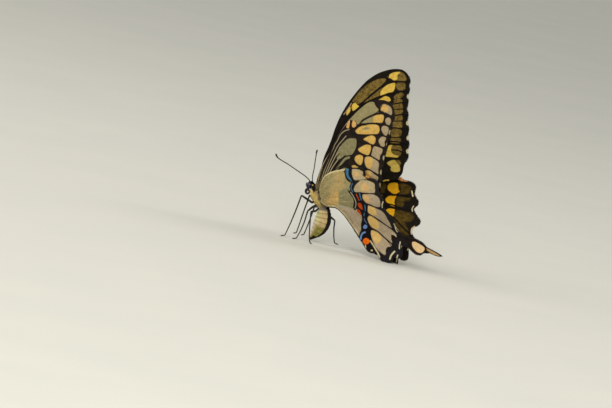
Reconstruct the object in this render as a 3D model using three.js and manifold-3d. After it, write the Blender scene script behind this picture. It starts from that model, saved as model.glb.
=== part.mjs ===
// Giant swallowtail butterfly, a still life-size model standing with half-open wings.
// Millimetres, +Z up.  The body lies in the XZ plane, the head towards -X and the
// butterfly's left side towards -Y.  Feet, tip of abdomen and hindwing lobes stand on z = 0.
import * as THREE from 'three';
import Module from 'manifold-3d';

const wasm = await Module();
wasm.setup();

// ---------------------------------------------------------------- driving sizes
const GAP = 0.3;                 // clear space between parts that meet
const WING = 0.6;                // thickness of a wing
const BODY_SIDES = 20;           // facets round thorax and abdomen

// Thorax: stations down its axis [x, z, half width, half depth]
const THORAX = [
  [-4.35, 24.35, 0.9, 0.9], [-3.95, 24.1, 2.1, 2.0], [-3.0, 23.6, 3.1, 3.3], [-1.6, 22.7, 3.75, 4.2],
  [0.1, 21.3, 4.0, 4.6], [1.6, 19.6, 3.9, 4.5], [2.7, 18.0, 3.4, 3.9], [3.35, 16.8, 2.6, 3.0],
];
// Abdomen: curved down and forward [x, z, half width, half depth]
const ABDOMEN = [
  [3.62, 16.1, 2.1, 2.3], [3.75, 15.2, 2.75, 2.8], [3.9, 13.9, 3.25, 3.3], [4.05, 12.2, 3.7, 3.75],
  [4.05, 10.3, 3.95, 4.0], [3.75, 8.3, 3.95, 4.0], [3.15, 6.4, 3.6, 3.65], [2.25, 4.7, 3.0, 3.0],
  [1.2, 3.2, 2.2, 2.2], [0.3, 1.9, 1.5, 1.5], [-0.25, 0.9, 1.05, 1.05], [-0.5, 0.2, 0.7, 0.7],
];
const HEAD = { x: -5.35, z: 24.35, long: 1.75, wide: 1.95, deep: 2.05, pitch: 38 };
const EYE = { x: -5.85, y: 1.55, z: 24.15, long: 1.2, wide: 1.0, deep: 1.45 };

// Forewing in its own plane: s runs to the outer margin, t to the wing tip
const FW_COSTA = [
  [-2.2, 1.0], [-3.1, 5.0], [-2.7, 10.0], [-1.4, 15.4], [0.4, 19.6], [1.9, 23.4], [3.6, 28.5], [5.9, 33.9], [9.0, 39.3],
  [11.6, 42.9], [14.5, 46.5], [18.0, 50.1], [20.5, 51.9], [23.1, 53.4], [25.8, 54.4], [28.6, 55.1], [31.3, 55.3],
  [34.0, 54.9], [35.9, 53.6],
];
const FW_INNER = [[-0.2, -1.6], [5.0, -0.6], [12.0, 0.6], [20.0, 2.4], [27.5, 4.6], [32.6, 6.0]];
const FW_TIPS = [[34.4, 8.4], [36.9, 15.8], [37.2, 21.4], [37.0, 28.4], [36.7, 34.8], [36.7, 40.5], [37.3, 46.0], [37.5, 49.6]];
const FW_SCALLOP = 0.5;          // depth of the hollows between the vein ends
const FW_FLARE = 19.0;           // turn of both wing planes away from the body, behind
const FW_LEAN = 5.8;             // lean of both wing planes outwards at the top
const FW_HOLLOW_TO = 24.0;       // height on the wing where that bend starts
const FW_CURL = [16.0, 26.0];      // heights on the wing between which the outer margin starts to curl outwards
const FW_POSE = {                  // root, sweep in its plane, outward curl and inward hollow
  left: { side: -1, x: 1.055, y: 3.358, z: 20.58, sweep: -6.46, curl: 1.0, hollow: 6.5 },
  right: { side: 1, x: 1.0, y: 3.75, z: 22.9, sweep: 12.6, curl: 0.0, hollow: 4.5 },
};

// Hindwing in side elevation: x to the rear, z up
const HW_FRONT = [
  [2.3, 21.6], [1.7, 24.4], [2.3, 28.1], [3.8, 30.8], [6.9, 33.3], [12.3, 35.6], [17.0, 37.2], [21.4, 38.6], [26.0, 39.4],
  [27.9, 38.0], [28.4, 35.9], [31.2, 35.8], [34.2, 36.0], [36.2, 35.2], [37.0, 34.0],
];
const HW_LOBES = [                                 // two rounded lobes and the three bays beside them
  [37.1, 32.5], [37.4, 31.2], [38.6, 29.8], [40.1, 28.6], [40.6, 27.0], [39.8, 25.1], [41.3, 23.6], [44.0, 22.0],
  [45.9, 20.8], [46.2, 19.2], [44.8, 17.9], [44.6, 16.7],
];
const HW_TAIL_TOP = [[46.0, 14.9], [48.2, 13.6], [50.3, 13.4], [53.2, 13.4], [56.0, 13.0], [58.6, 12.2], [60.4, 11.0], [61.3, 9.9]];
const HW_INNER = [[3.3, 18.3], [6.4, 17.3], [9.6, 17.6], [13.2, 17.9], [16.9, 15.9], [20.4, 12.4], [24.7, 8.1], [29.5, 3.6]];
const HW_HIND = [                                  // lobe at the inner corner, two lobes and the bay before the tail
  [31.4, 2.3], [33.3, 2.2], [35.3, 3.1], [37.2, 1.0], [39.3, -0.4], [41.7, -0.4], [43.6, 0.4], [43.6, 3.4],
  [45.8, 2.9], [47.9, 4.0], [47.7, 6.6], [46.9, 8.8],
];
const HW_TAIL_LOW = [[49.2, 9.2], [51.0, 8.8], [52.6, 7.9], [54.3, 7.1], [56.2, 6.7], [58.2, 7.0], [60.0, 8.5]];
const HW_SPINE = [[3.6, 20.4], [11.0, 23.5], [19.0, 24.5], [28.0, 22.0], [34.8, 18.0], [41.5, 14.0], [50.5, 11.3], [61.0, 9.7]];
const HW_SET = {                                   // each hindwing's own set: lift of its rear end, lower lobe, tail
  left: { side: -1, lift: 0.5, lobe: -2.3, tailLonger: -1.5, tailDrop: 0.0, tailTurn: 0 },
  right: { side: 1, lift: -0.8, lobe: 0.0, tailLonger: 3.0, tailDrop: 0.5, tailTurn: -66 },
};
const HW_LOBE_Z = 20.4;                            // height of the lower lobe
const HW_TAIL_FROM = 49.0;                         // where along the hindwing the turn of the tail starts

// Legs: joints from body to toe, [x, y, z]
const LEGS = {
  leg_fore_left: [[-1.2, -1.6, 18.3], [-1.5, -3.0, 17.2], [-5.5, -7.0, 19.6], [-5.7, -9.1, 12.4], [-6.4, -10.2, 6.4], [-7.3, -11.4, 0.75], [-8.7, -12.2, 0.27]],
  leg_mid_left: [[0.6, -1.8, 16.9], [-0.4, -3.6, 15.6], [-1.2, -6.2, 13.5], [-0.8, -8.1, 8.2], [-1.2, -9.0, 4.4], [-2.0, -10.0, 0.7], [-3.3, -10.9, 0.27]],
  leg_hind_left: [[1.6, -1.9, 15.3], [1.5, -3.6, 14.1], [0.7, -6.6, 13.6], [2.4, -8.3, 7.6], [3.7, -9.3, 3.8], [5.0, -10.2, 0.7], [6.4, -11.0, 0.27]],
  leg_fore_right: [[-1.6, 1.4, 18.2], [-2.4, 2.6, 16.9], [-7.6, 4.8, 19.3], [-9.4, 6.2, 12.2], [-10.6, 7.0, 6.2], [-11.8, 7.8, 0.75], [-13.3, 8.4, 0.27]],
  leg_mid_right: [[-0.4, 1.8, 16.6], [-1.2, 3.2, 15.5], [-4.6, 6.0, 14.6], [-6.4, 7.7, 8.2], [-7.5, 8.5, 4.2], [-8.7, 9.4, 0.7], [-10.1, 10.2, 0.27]],
  leg_hind_right: [[1.6, 1.9, 15.3], [2.6, 4.4, 13.2], [6.5, 6.9, 10.9], [6.2, 8.1, 7.2], [6.6, 8.9, 3.6], [7.2, 9.7, 0.7], [8.4, 10.7, 0.27]],
};
const LEG_GIRTH = [0.5, 0.62, 0.42, 0.36, 0.31, 0.28, 0.27];

// Feelers: path of the left and of the right one, and the club at the end
const FEELERS = {
  antenna_left: [[-5.5, -0.75, 25.6], [-6.7, -1.7, 27.0], [-8.6, -3.5, 28.4], [-11.4, -6.3, 30.1], [-14.6, -9.4, 32.0], [-17.0, -11.8, 33.2], [-18.3, -13.2, 34.2], [-18.9, -14.2, 35.6]],
  antenna_right: [[-5.5, 0.75, 25.6], [-6.4, 1.7, 27.2], [-7.5, 3.4, 28.9], [-8.9, 6.2, 31.0], [-10.6, 9.0, 33.9], [-12.0, 11.4, 36.3], [-12.9, 12.9, 37.7], [-13.3, 13.8, 39.0]],
};
const PALP = { from: [-6.7, 0.62, 23.4], to: [-7.35, 0.62, 24.9], girth: 0.5 };
const TONGUE = { x: -6.5, z: 21.2, turns: 1.35, inner: 0.62, outer: 1.5, girth: 0.27 };

const INK = 0x14110f;

// ---------------------------------------------------------------- shape helpers
const V = (x, y, z) => new THREE.Vector3(x, y, z);
const rad = (d) => (d * Math.PI) / 180;
const mix = (a, b, t) => a + (b - a) * t;

// A closed body through a list of rings of equal count, each end closed to its middle
function loft(rings) {
  const n = rings[0].length;
  const pos = [];
  const idx = [];
  for (const r of rings) for (const p of r) pos.push(p.x, p.y, p.z);
  const mid = (r) => r.reduce((a, p) => a.add(p), V(0, 0, 0)).multiplyScalar(1 / n);
  const c0 = mid(rings[0]);
  const c1 = mid(rings[rings.length - 1]);
  const i0 = rings.length * n;
  pos.push(c0.x, c0.y, c0.z, c1.x, c1.y, c1.z);
  for (let i = 0; i + 1 < rings.length; i++) {
    for (let j = 0; j < n; j++) {
      const a = i * n + j;
      const b = i * n + ((j + 1) % n);
      idx.push(a, b, b + n, a, b + n, a + n);
    }
  }
  const last = (rings.length - 1) * n;
  for (let j = 0; j < n; j++) {
    idx.push(i0, (j + 1) % n, j);
    idx.push(i0 + 1, last + j, last + ((j + 1) % n));
  }
  return faceOut(pos, idx);
}

function faceOut(pos, idx) {
  let vol = 0;
  const p = (i) => V(pos[3 * i], pos[3 * i + 1], pos[3 * i + 2]);
  for (let k = 0; k < idx.length; k += 3) vol += p(idx[k]).dot(p(idx[k + 1]).cross(p(idx[k + 2])));
  if (vol < 0) for (let k = 0; k < idx.length; k += 3) [idx[k + 1], idx[k + 2]] = [idx[k + 2], idx[k + 1]];
  const g = new THREE.BufferGeometry();
  g.setAttribute('position', new THREE.Float32BufferAttribute(pos, 3));
  g.setIndex(idx);
  return g;
}

// Round or oval stations along a line in the XZ plane
function torso(stations, sides, grow = 0) {
  return loft(stations.map(([x, z, w, d], i) => {
    const a = stations[Math.max(i - 1, 0)];
    const b = stations[Math.min(i + 1, stations.length - 1)];
    const along = V(b[0] - a[0], 0, b[1] - a[1]).normalize();
    const across = V(-along.z, 0, along.x);
    const end = i === 0 ? -grow : i === stations.length - 1 ? grow : 0;
    return Array.from({ length: sides }, (_, k) => {
      const q = (2 * Math.PI * (k + 0.5)) / sides;
      return V(x, 0, z).addScaledVector(along, end)
        .addScaledVector(across, (d + grow) * Math.cos(q)).add(V(0, (w + grow) * Math.sin(q), 0));
    });
  }));
}

// A tapering limb along a smooth or a jointed path
function limb(points, girths, sides, steps, smooth, flatFloor = false) {
  const pts = points.map((p) => V(...p));
  const line = [];
  const r = [];
  if (smooth) {
    const curve = new THREE.CatmullRomCurve3(pts, false, 'centripetal');
    for (let i = 0; i <= steps; i++) {
      line.push(curve.getPoint(i / steps));
      const f = (i / steps) * (girths.length - 1);
      const k = Math.min(Math.floor(f), girths.length - 2);
      r.push(mix(girths[k], girths[k + 1], f - k));
    }
  } else {
    pts.forEach((p, i) => { line.push(p); r.push(girths[i]); });
  }
  let side = null;
  const rings = line.map((p, i) => {
    const t = line[Math.min(i + 1, line.length - 1)].clone().sub(line[Math.max(i - 1, 0)]).normalize();
    if (!side) side = V(0, 1, 0).cross(t).length() > 0.3 ? V(0, 1, 0).cross(t).normalize() : V(1, 0, 0).cross(t).normalize();
    side = side.clone().addScaledVector(t, -side.dot(t)).normalize();
    const up = t.clone().cross(side);
    return Array.from({ length: sides }, (_, k) => {
      const q = (2 * Math.PI * (k + 0.5)) / sides;
      const v = p.clone().addScaledVector(side, r[i] * Math.cos(q)).addScaledVector(up, r[i] * Math.sin(q));
      if (flatFloor && v.z < 0.12) v.z = 0;
      return v;
    });
  });
  return loft(rings);
}

function ball({ x, y = 0, z, long, wide, deep, pitch = 0 }, sides, rows, grow = 0) {
  const rings = [];
  for (let i = 0; i <= rows; i++) {
    const a = Math.PI * mix(0.06, 0.94, i / rows);
    rings.push(Array.from({ length: sides }, (_, k) => {
      const q = (2 * Math.PI * k) / sides;
      const p = V(-(long + grow) * Math.cos(a), (wide + grow) * Math.sin(a) * Math.cos(q), (deep + grow) * Math.sin(a) * Math.sin(q));
      return p.applyAxisAngle(V(0, 1, 0), rad(pitch)).add(V(x, y, z));
    }));
  }
  return loft(rings);
}

// ---------------------------------------------------------------- solid helpers
function toSolid(g) {
  const s = g.clone();
  s.deleteAttribute('normal');
  s.deleteAttribute('uv');
  return new wasm.Manifold(new wasm.Mesh({
    numProp: 3, vertProperties: new Float32Array(s.attributes.position.array), triVerts: new Uint32Array(s.index.array),
  }));
}
function fromSolid(m) {
  const mesh = m.getMesh();
  const g = new THREE.BufferGeometry();
  const p = [];
  for (let i = 0; i < mesh.vertProperties.length; i += mesh.numProp) p.push(mesh.vertProperties[i], mesh.vertProperties[i + 1], mesh.vertProperties[i + 2]);
  g.setAttribute('position', new THREE.Float32BufferAttribute(p, 3));
  g.setIndex(Array.from(mesh.triVerts));
  return g;
}
function biggest(m) {
  const parts = m.decompose();
  return parts.reduce((a, b) => (b.volume() > a.volume() ? b : a));
}
function slab(zLow, zHigh, reach) {
  const g = new THREE.BoxGeometry(2 * reach, 2 * reach, zHigh - zLow);
  g.translate(0, 0, (zLow + zHigh) / 2);
  g.deleteAttribute('normal');
  g.deleteAttribute('uv');
  return toSolid(mergeCorners(g));
}
function mergeCorners(g) {
  const pos = g.attributes.position;
  const seen = new Map();
  const out = [];
  const remap = [];
  for (let i = 0; i < pos.count; i++) {
    const key = [pos.getX(i), pos.getY(i), pos.getZ(i)].map((v) => v.toFixed(5)).join();
    if (!seen.has(key)) { seen.set(key, out.length / 3); out.push(pos.getX(i), pos.getY(i), pos.getZ(i)); }
    remap.push(seen.get(key));
  }
  const m = new THREE.BufferGeometry();
  m.setAttribute('position', new THREE.Float32BufferAttribute(out, 3));
  m.setIndex(Array.from(g.index.array).map((i) => remap[i]));
  return m;
}

// ---------------------------------------------------------------- wings
const smoothLine = (list, count) => {
  const curve = new THREE.CatmullRomCurve3(list.map(([a, b]) => V(a, 0, b)), false, 'centripetal');
  return curve.getSpacedPoints(count).map((p) => [p.x, p.z]);
};

// The same curve with a fixed number of steps between one point and the next, so that it keeps them
const through = (list, steps) => {
  const curve = new THREE.CatmullRomCurve3(list.map(([a, b]) => V(a, 0, b)), false, 'centripetal');
  return curve.getPoints((list.length - 1) * steps).map((p) => [p.x, p.z]);
};

// Outer margin of the forewing from the hind corner up: vein ends with hollows between them
function scalloped(tips, depth) {
  const line = [];
  tips.forEach(([s, t], i) => {
    line.push([s, t]);
    if (i + 1 < tips.length) {
      const [s2, t2] = tips[i + 1];
      line.push([(s + s2) / 2 - depth, (t + t2) / 2]);
    }
  });
  return line;
}

const FW_ROWS = 39;
const HW_ROWS = [18, 24, 14];    // root to first lobe, lobed margin, tail
const WING_COLS = 6;

function forewingRails() {
  const front = smoothLine(FW_COSTA, FW_ROWS);
  const margin = through([FW_INNER[FW_INNER.length - 1], ...scalloped(FW_TIPS, FW_SCALLOP), [36.9, 52.1]], 2);
  const innerRows = FW_ROWS + 1 - margin.length;
  const back = [...smoothLine(FW_INNER, innerRows).slice(0, innerRows), ...margin];
  const ridge = front.map(([a, b], i) => [mix(a, back[i][0], 0.5), mix(b, back[i][1], 0.5)]);
  return { front, ridge, back };
}

// The hindwing in three stretches, each with its own number of rows: root to first lobe,
// lobed margin, tail.  Each row runs from the front edge over a middle line to the hind edge
function hindwingRails() {
  const end = (list) => list[list.length - 1];
  const [rise, lobed, tail] = HW_ROWS;
  return {
    front: [
      ...smoothLine(HW_FRONT, rise),
      ...through([end(HW_FRONT), ...HW_LOBES], lobed / HW_LOBES.length).slice(1),
      ...smoothLine([end(HW_LOBES), ...HW_TAIL_TOP], tail).slice(1),
    ],
    ridge: [
      ...smoothLine(HW_SPINE.slice(0, 4), rise),
      ...smoothLine(HW_SPINE.slice(3, 6), lobed).slice(1),
      ...smoothLine(HW_SPINE.slice(5), tail).slice(1),
    ],
    back: [
      ...smoothLine(HW_INNER, rise),
      ...through([end(HW_INNER), ...HW_HIND], lobed / HW_HIND.length).slice(1),
      ...smoothLine([end(HW_HIND), ...HW_TAIL_LOW], tail).slice(1),
    ],
  };
}

// Place of a forewing point: its plane is flared and leaned, its hind corner bends inwards and
// its outer margin curls outwards a little above it
function forewingPlace(pose, s, t) {
  const f = rad(FW_FLARE);
  const l = rad(FW_LEAN);
  const w = rad(pose.sweep);
  const rear = V(Math.cos(f), Math.sin(f), 0);
  const out = V(-Math.sin(f) * Math.cos(l), Math.cos(f) * Math.cos(l), -Math.sin(l));
  const up = rear.clone().cross(out);
  const es = rear.clone().multiplyScalar(Math.cos(w)).addScaledVector(up, Math.sin(w));
  const et = up.clone().multiplyScalar(Math.cos(w)).addScaledVector(rear, -Math.sin(w));
  const bend = pose.hollow * Math.max(s / 37, 0) ** 2 * Math.max(1 - t / FW_HOLLOW_TO, 0) ** 2;
  const high = Math.min(Math.max((t - FW_CURL[0]) / (FW_CURL[1] - FW_CURL[0]), 0), 1);
  const curl = pose.curl * Math.max(s / 37, 0) ** 2 * high * high * (3 - 2 * high);
  const p = V(pose.x, pose.y, pose.z).addScaledVector(es, s).addScaledVector(et, t).addScaledVector(out, curl - bend);
  p.y *= pose.side;
  return p;
}

// Flare of a hindwing at a place in side elevation: parallel to the forewing above,
// close to the abdomen below, with a smooth step between the two
function hindwingFlare(x, z) {
  const k = Math.min(Math.max((x - 10) / 30, -0.3), 1.6);
  const centre = mix(14.0, 19.2, k);
  const width = mix(2.8, 4.4, Math.min(Math.max(k, 0), 1));
  const low = 2.6 + 2.2 * Math.exp(-((Math.max(x, 0) / 12) ** 2));
  const high = Math.max(3.6 + 0.361 * (x - 1.86) + 0.135 * (z - 21.65) + 0.9, low);
  return low + (high - low) / (1 + Math.exp(-(z - centre) / width));
}
function hindwingPlace(set, x, z) {
  const rear = Math.min(Math.max((x - 8) / 40, 0), 1);
  const tail = Math.max(x - HW_TAIL_FROM, 0) / 12;
  const turn = rad(set.tailTurn) * Math.min(tail * 2, 1);
  const middle = 11.3 - 1.6 * tail;
  const across = z - middle;
  const lobe = Math.min(Math.max((x - 38) / 8, 0), 1) * Math.exp(-(((z - HW_LOBE_Z) / 2.6) ** 2));
  return V(
    x + set.tailLonger * tail + set.lobe * lobe,
    set.side * (hindwingFlare(x, z) + across * Math.sin(turn)),
    middle + across * Math.cos(turn) + set.lift * rear - set.tailDrop * tail,
  );
}

function wingSolid(rails, place) {
  const rows = rails.front.length;
  const cols = WING_COLS + 1;
  const grid = rails.front.map((front, i) => Array.from({ length: cols }, (_, j) => {
    const f = (2 * j) / WING_COLS;
    const [from, to, part] = f <= 1 ? [front, rails.ridge[i], f] : [rails.ridge[i], rails.back[i], f - 1];
    return place(mix(from[0], to[0], part), mix(from[1], to[1], part));
  }));
  const pos = [];
  for (const layer of [0.5, -0.5]) {
    for (let i = 0; i < rows; i++) {
      for (let j = 0; j < cols; j++) {
        const du = grid[Math.min(i + 1, rows - 1)][j].clone().sub(grid[Math.max(i - 1, 0)][j]);
        const dv = grid[i][Math.min(j + 1, cols - 1)].clone().sub(grid[i][Math.max(j - 1, 0)]);
        const n = du.cross(dv).normalize();
        const p = grid[i][j].clone().addScaledVector(n, layer * WING);
        pos.push(p.x, p.y, p.z);
      }
    }
  }
  const idx = [];
  const at = (i, j, l) => l * rows * cols + i * cols + j;
  const quad = (a, b, c, d) => idx.push(a, b, c, a, c, d);
  for (let i = 0; i + 1 < rows; i++) {
    for (let j = 0; j + 1 < cols; j++) {
      quad(at(i, j, 0), at(i + 1, j, 0), at(i + 1, j + 1, 0), at(i, j + 1, 0));
      quad(at(i, j, 1), at(i, j + 1, 1), at(i + 1, j + 1, 1), at(i + 1, j, 1));
    }
    quad(at(i, 0, 0), at(i, 0, 1), at(i + 1, 0, 1), at(i + 1, 0, 0));
    quad(at(i, cols - 1, 0), at(i + 1, cols - 1, 0), at(i + 1, cols - 1, 1), at(i, cols - 1, 1));
  }
  for (let j = 0; j + 1 < cols; j++) {
    quad(at(0, j, 0), at(0, j + 1, 0), at(0, j + 1, 1), at(0, j, 1));
    quad(at(rows - 1, j, 0), at(rows - 1, j, 1), at(rows - 1, j + 1, 1), at(rows - 1, j + 1, 0));
  }
  return faceOut(pos, idx);
}

// ---------------------------------------------------------------- the parts
const butterfly = new THREE.Group();
butterfly.name = 'swallowtail_butterfly';

function add(name, geometry, color, roughness, metalness = 0) {
  const mesh = new THREE.Mesh(geometry, new THREE.MeshStandardMaterial({ color, roughness, metalness }));
  mesh.name = name;
  butterfly.add(mesh);
}

const below = slab(-30, 0, 200);
const thoraxSolid = toSolid(torso(THORAX, BODY_SIDES));
const thoraxWide = toSolid(torso(THORAX, BODY_SIDES, GAP));
const abdomenWide = toSolid(torso(ABDOMEN, BODY_SIDES, GAP));
const headWide = toSolid(ball(HEAD, 16, 10, GAP));
const abdomenSolid = toSolid(torso(ABDOMEN, BODY_SIDES)).subtract(below).subtract(thoraxWide);
const eyes = { left: -1, right: 1 };
const eyeAt = (s, grow) => toSolid(ball({ ...EYE, y: EYE.y * s }, 14, 9, grow));
const headSolid = toSolid(ball(HEAD, 16, 10)).subtract(thoraxWide)
  .subtract(eyeAt(-1, 0.05)).subtract(eyeAt(1, 0.05));

add('thorax', fromSolid(thoraxSolid), 0xc9a560, 0.9);
add('abdomen', fromSolid(biggest(abdomenSolid)), 0xcdbb88, 0.85);
add('head', fromSolid(biggest(headSolid)), INK, 0.85);
for (const [name, s] of Object.entries(eyes)) add(`eye_${name}`, fromSolid(eyeAt(s, 0)), 0x1d1b33, 0.2);

const feeler = [0.27, 0.25, 0.25, 0.25, 0.25, 0.3, 0.45, 0.36];
for (const [name, path] of Object.entries(FEELERS)) {
  add(name, fromSolid(biggest(toSolid(limb(path, feeler, 6, 22, true)).subtract(headWide))), INK, 0.7);
}
for (const [name, s] of Object.entries(eyes)) {
  const a = PALP.from;
  const b = PALP.to;
  const mid = [mix(a[0], b[0], 0.5) - 0.35, s * a[1], mix(a[2], b[2], 0.5)];
  const palp = limb([[a[0] + 0.7, s * a[1], a[2] - 0.3], [a[0], s * a[1], a[2]], mid, [b[0], s * b[1], b[2]]], [0.3, 0.42, PALP.girth, 0.26], 8, 7, true);
  const eyeRoom = eyeAt(s, 0.12);
  add(`palp_${name}`, fromSolid(biggest(toSolid(palp).subtract(headWide).subtract(eyeRoom))), INK, 0.9);
}
const coil = Array.from({ length: 9 }, (_, i) => {
  const f = i / 8;
  const a = rad(70) + f * TONGUE.turns * 2 * Math.PI;
  const r = mix(TONGUE.outer, TONGUE.inner, f);
  return [TONGUE.x + r * Math.cos(a), 0, TONGUE.z + r * Math.sin(a)];
});
add('proboscis', fromSolid(biggest(toSolid(limb(coil, [TONGUE.girth, TONGUE.girth], 6, 22, true)).subtract(headWide))), INK, 0.6);

for (const [name, path] of Object.entries(LEGS)) {
  const leg = toSolid(limb(path, LEG_GIRTH, 8, 0, false, true)).subtract(thoraxWide).subtract(abdomenWide).subtract(below);
  add(name, fromSolid(biggest(leg)), INK, 0.6);
}

const fwRails = forewingRails();
const hwRails = hindwingRails();
for (const [name, pose] of Object.entries(FW_POSE)) {
  const wing = toSolid(wingSolid(fwRails, (s, t) => forewingPlace(pose, s, t))).subtract(thoraxWide);
  add(`forewing_${name}`, fromSolid(biggest(wing)), name === 'left' ? 0xa8996e : 0x3a3018, 0.8);
}
for (const [name, set] of Object.entries(HW_SET)) {
  const wing = toSolid(wingSolid(hwRails, (x, z) => hindwingPlace(set, x, z)))
    .subtract(thoraxWide).subtract(abdomenWide).subtract(below);
  add(`hindwing_${name}`, fromSolid(biggest(wing)), name === 'left' ? 0xb8a47e : 0x3a3018, 0.8);
}

// The origin goes to the floor, under the middle of the whole model
butterfly.updateMatrixWorld(true);
const whole = new THREE.Box3().setFromObject(butterfly);
for (const mesh of butterfly.children) {
  mesh.geometry.translate(-(whole.min.x + whole.max.x) / 2, -(whole.min.y + whole.max.y) / 2, 0);
}

export default butterfly;
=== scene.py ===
"""Giant swallowtail butterfly, life size, standing still with half-open wings.

Sizes in the tables below are millimetres in the butterfly's own frame: the body lies in the
XZ plane, the head points to -X, the butterfly's left is -Y and the floor is z = 0.
"""
import math
from collections import namedtuple

import bpy
import numpy as np
from mathutils import Matrix, Vector


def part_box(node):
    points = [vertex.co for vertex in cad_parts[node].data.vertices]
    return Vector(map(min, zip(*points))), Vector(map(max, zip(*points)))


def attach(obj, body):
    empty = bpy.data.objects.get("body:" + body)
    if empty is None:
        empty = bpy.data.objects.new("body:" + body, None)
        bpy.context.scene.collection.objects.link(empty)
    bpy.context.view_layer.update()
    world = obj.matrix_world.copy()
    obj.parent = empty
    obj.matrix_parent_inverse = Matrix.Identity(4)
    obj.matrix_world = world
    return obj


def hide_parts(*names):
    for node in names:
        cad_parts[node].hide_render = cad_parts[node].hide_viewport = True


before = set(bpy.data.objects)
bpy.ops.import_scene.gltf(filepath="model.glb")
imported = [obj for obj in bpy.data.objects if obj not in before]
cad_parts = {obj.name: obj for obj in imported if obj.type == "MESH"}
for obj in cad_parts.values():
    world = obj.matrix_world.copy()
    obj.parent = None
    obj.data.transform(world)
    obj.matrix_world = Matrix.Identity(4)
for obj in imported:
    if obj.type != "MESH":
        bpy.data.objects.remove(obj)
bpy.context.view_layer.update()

bl_info = {
    "name": "Giant swallowtail butterfly",
    "version": (1, 0, 0),
    "blender": (4, 5, 0),
    "location": "View3D > Sidebar > Butterfly",
    "description": "Builds the visible surfaces, coat and stage of a life-size swallowtail butterfly",
    "category": "Add Mesh",
}

MM = 0.001

# ------------------------------------------------------------------ sizes of the wings
# The outlines are the solid wings' own.  A forewing is drawn in its plane (towards the outer margin,
# towards the wing tip), a hindwing in side elevation (to the rear, up).
FW_COSTA = [
    (-2.2, 1), (-3.1, 5), (-2.7, 10), (-1.4, 15.4), (.4, 19.6), (1.9, 23.4), (3.6, 28.5), (5.9, 33.9),
    (9, 39.3), (11.6, 42.9), (14.5, 46.5), (18, 50.1), (20.5, 51.9), (23.1, 53.4), (25.8, 54.4),
    (28.6, 55.1), (31.3, 55.3), (34, 54.9), (35.9, 53.6),
]
FW_INNER = [(-.2, -1.6), (5, -.6), (12, .6), (20, 2.4), (27.5, 4.6), (32.6, 6)]
FW_TIPS = [
    (34.4, 8.4), (36.9, 15.8), (37.2, 21.4), (37, 28.4), (36.7, 34.8), (36.7, 40.5), (37.3, 46),
    (37.5, 49.6),
]
FW_END = (36.9, 52.1)
FW_SCALLOP = .5                          # depth of the hollows between the vein ends
FW_WIDE = 37                             # from the root to the outer margin
FW_FLARE, FW_LEAN = 19.0, 5.8            # degrees that the wing planes turn out behind and lean out above
FW_HOLLOW_TO = 24.0                      # height on the wing where its hind corner starts to bend in
FW_CURL = (16.0, 26.0)                   # heights between which the outer margin starts to curl out
FW_POSE = {                              # side, root x y z, sweep, outward curl, inward hollow
    "left": (-1, 1.055, 3.358, 20.58, -6.46, 1.0, 6.5),
    "right": (1, 1.0, 3.75, 22.9, 12.6, 0.0, 4.5),
}
FW_ROWS = 39                             # rows of the solid forewing

HW_FRONT = [
    (2.3, 21.6), (1.7, 24.4), (2.3, 28.1), (3.8, 30.8), (6.9, 33.3), (12.3, 35.6), (17, 37.2), (21.4, 38.6),
    (26, 39.4), (27.9, 38), (28.4, 35.9), (31.2, 35.8), (34.2, 36), (36.2, 35.2), (37, 34),
]
HW_LOBES = [
    (37.1, 32.5), (37.4, 31.2), (38.6, 29.8), (40.1, 28.6), (40.6, 27), (39.8, 25.1), (41.3, 23.6),
    (44, 22), (45.9, 20.8), (46.2, 19.2), (44.8, 17.9), (44.6, 16.7),
]
HW_TAIL_TOP = [
    (46, 14.9), (48.2, 13.6), (50.3, 13.4), (53.2, 13.4), (56, 13), (58.6, 12.2), (60.4, 11), (61.3, 9.9),
]
HW_INNER = [
    (3.3, 18.3), (6.4, 17.3), (9.6, 17.6), (13.2, 17.9), (16.9, 15.9), (20.4, 12.4), (24.7, 8.1),
    (29.5, 3.6),
]
HW_HIND = [
    (31.4, 2.3), (33.3, 2.2), (35.3, 3.1), (37.2, 1), (39.3, -.4), (41.7, -.4), (43.6, .4), (43.6, 3.4),
    (45.8, 2.9), (47.9, 4), (47.7, 6.6), (46.9, 8.8),
]
HW_TAIL_LOW = [(49.2, 9.2), (51, 8.8), (52.6, 7.9), (54.3, 7.1), (56.2, 6.7), (58.2, 7), (60, 8.5)]
HW_SPINE = [(3.6, 20.4), (11, 23.5), (19, 24.5), (28, 22), (34.8, 18), (41.5, 14), (50.5, 11.3), (61, 9.7)]
HW_SET = {                               # side, lift behind, lower lobe, longer tail, tail drop, tail turn
    "left": (-1, .5, -2.3, -1.5, 0, 0),
    "right": (1, -.8, 0, 3, .5, -66),
}
HW_LOBE = (38, 8, 20.4, 2.6)             # where the lower lobe starts, its length, height and half width
HW_TAIL = (49.0, 12)                     # where the tail starts and its length
HW_TAIL_MIDDLE = (11.3, 1.6)             # height of the tail's middle line and how far it falls to its end
HW_REAR = (8, 40)                        # where the lift of the rear end starts and over what length
HW_ROWS = (18, 24, 14)                   # rows of the solid hindwing: root, lobed margin, tail
# Half distance between the hindwings: that above follows the forewings, that below the abdomen
FLARE_FROM = (10, 30)                    # x where the step has its front values, and length to the rear ones
FLARE_CENTRE = (14.0, 19.2)              # height of the middle of the step, in front and at the rear
FLARE_WIDTH = (2.8, 4.4)                 # softness of the step, in front and at the rear
FLARE_LOW = (2.6, 2.2, 12)               # below: least, addition at the root, length over which it fades
FLARE_HIGH = (4.5, .361, 1.86, .135, 21.65)   # above: at the root, growth per mm behind x and above z

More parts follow.
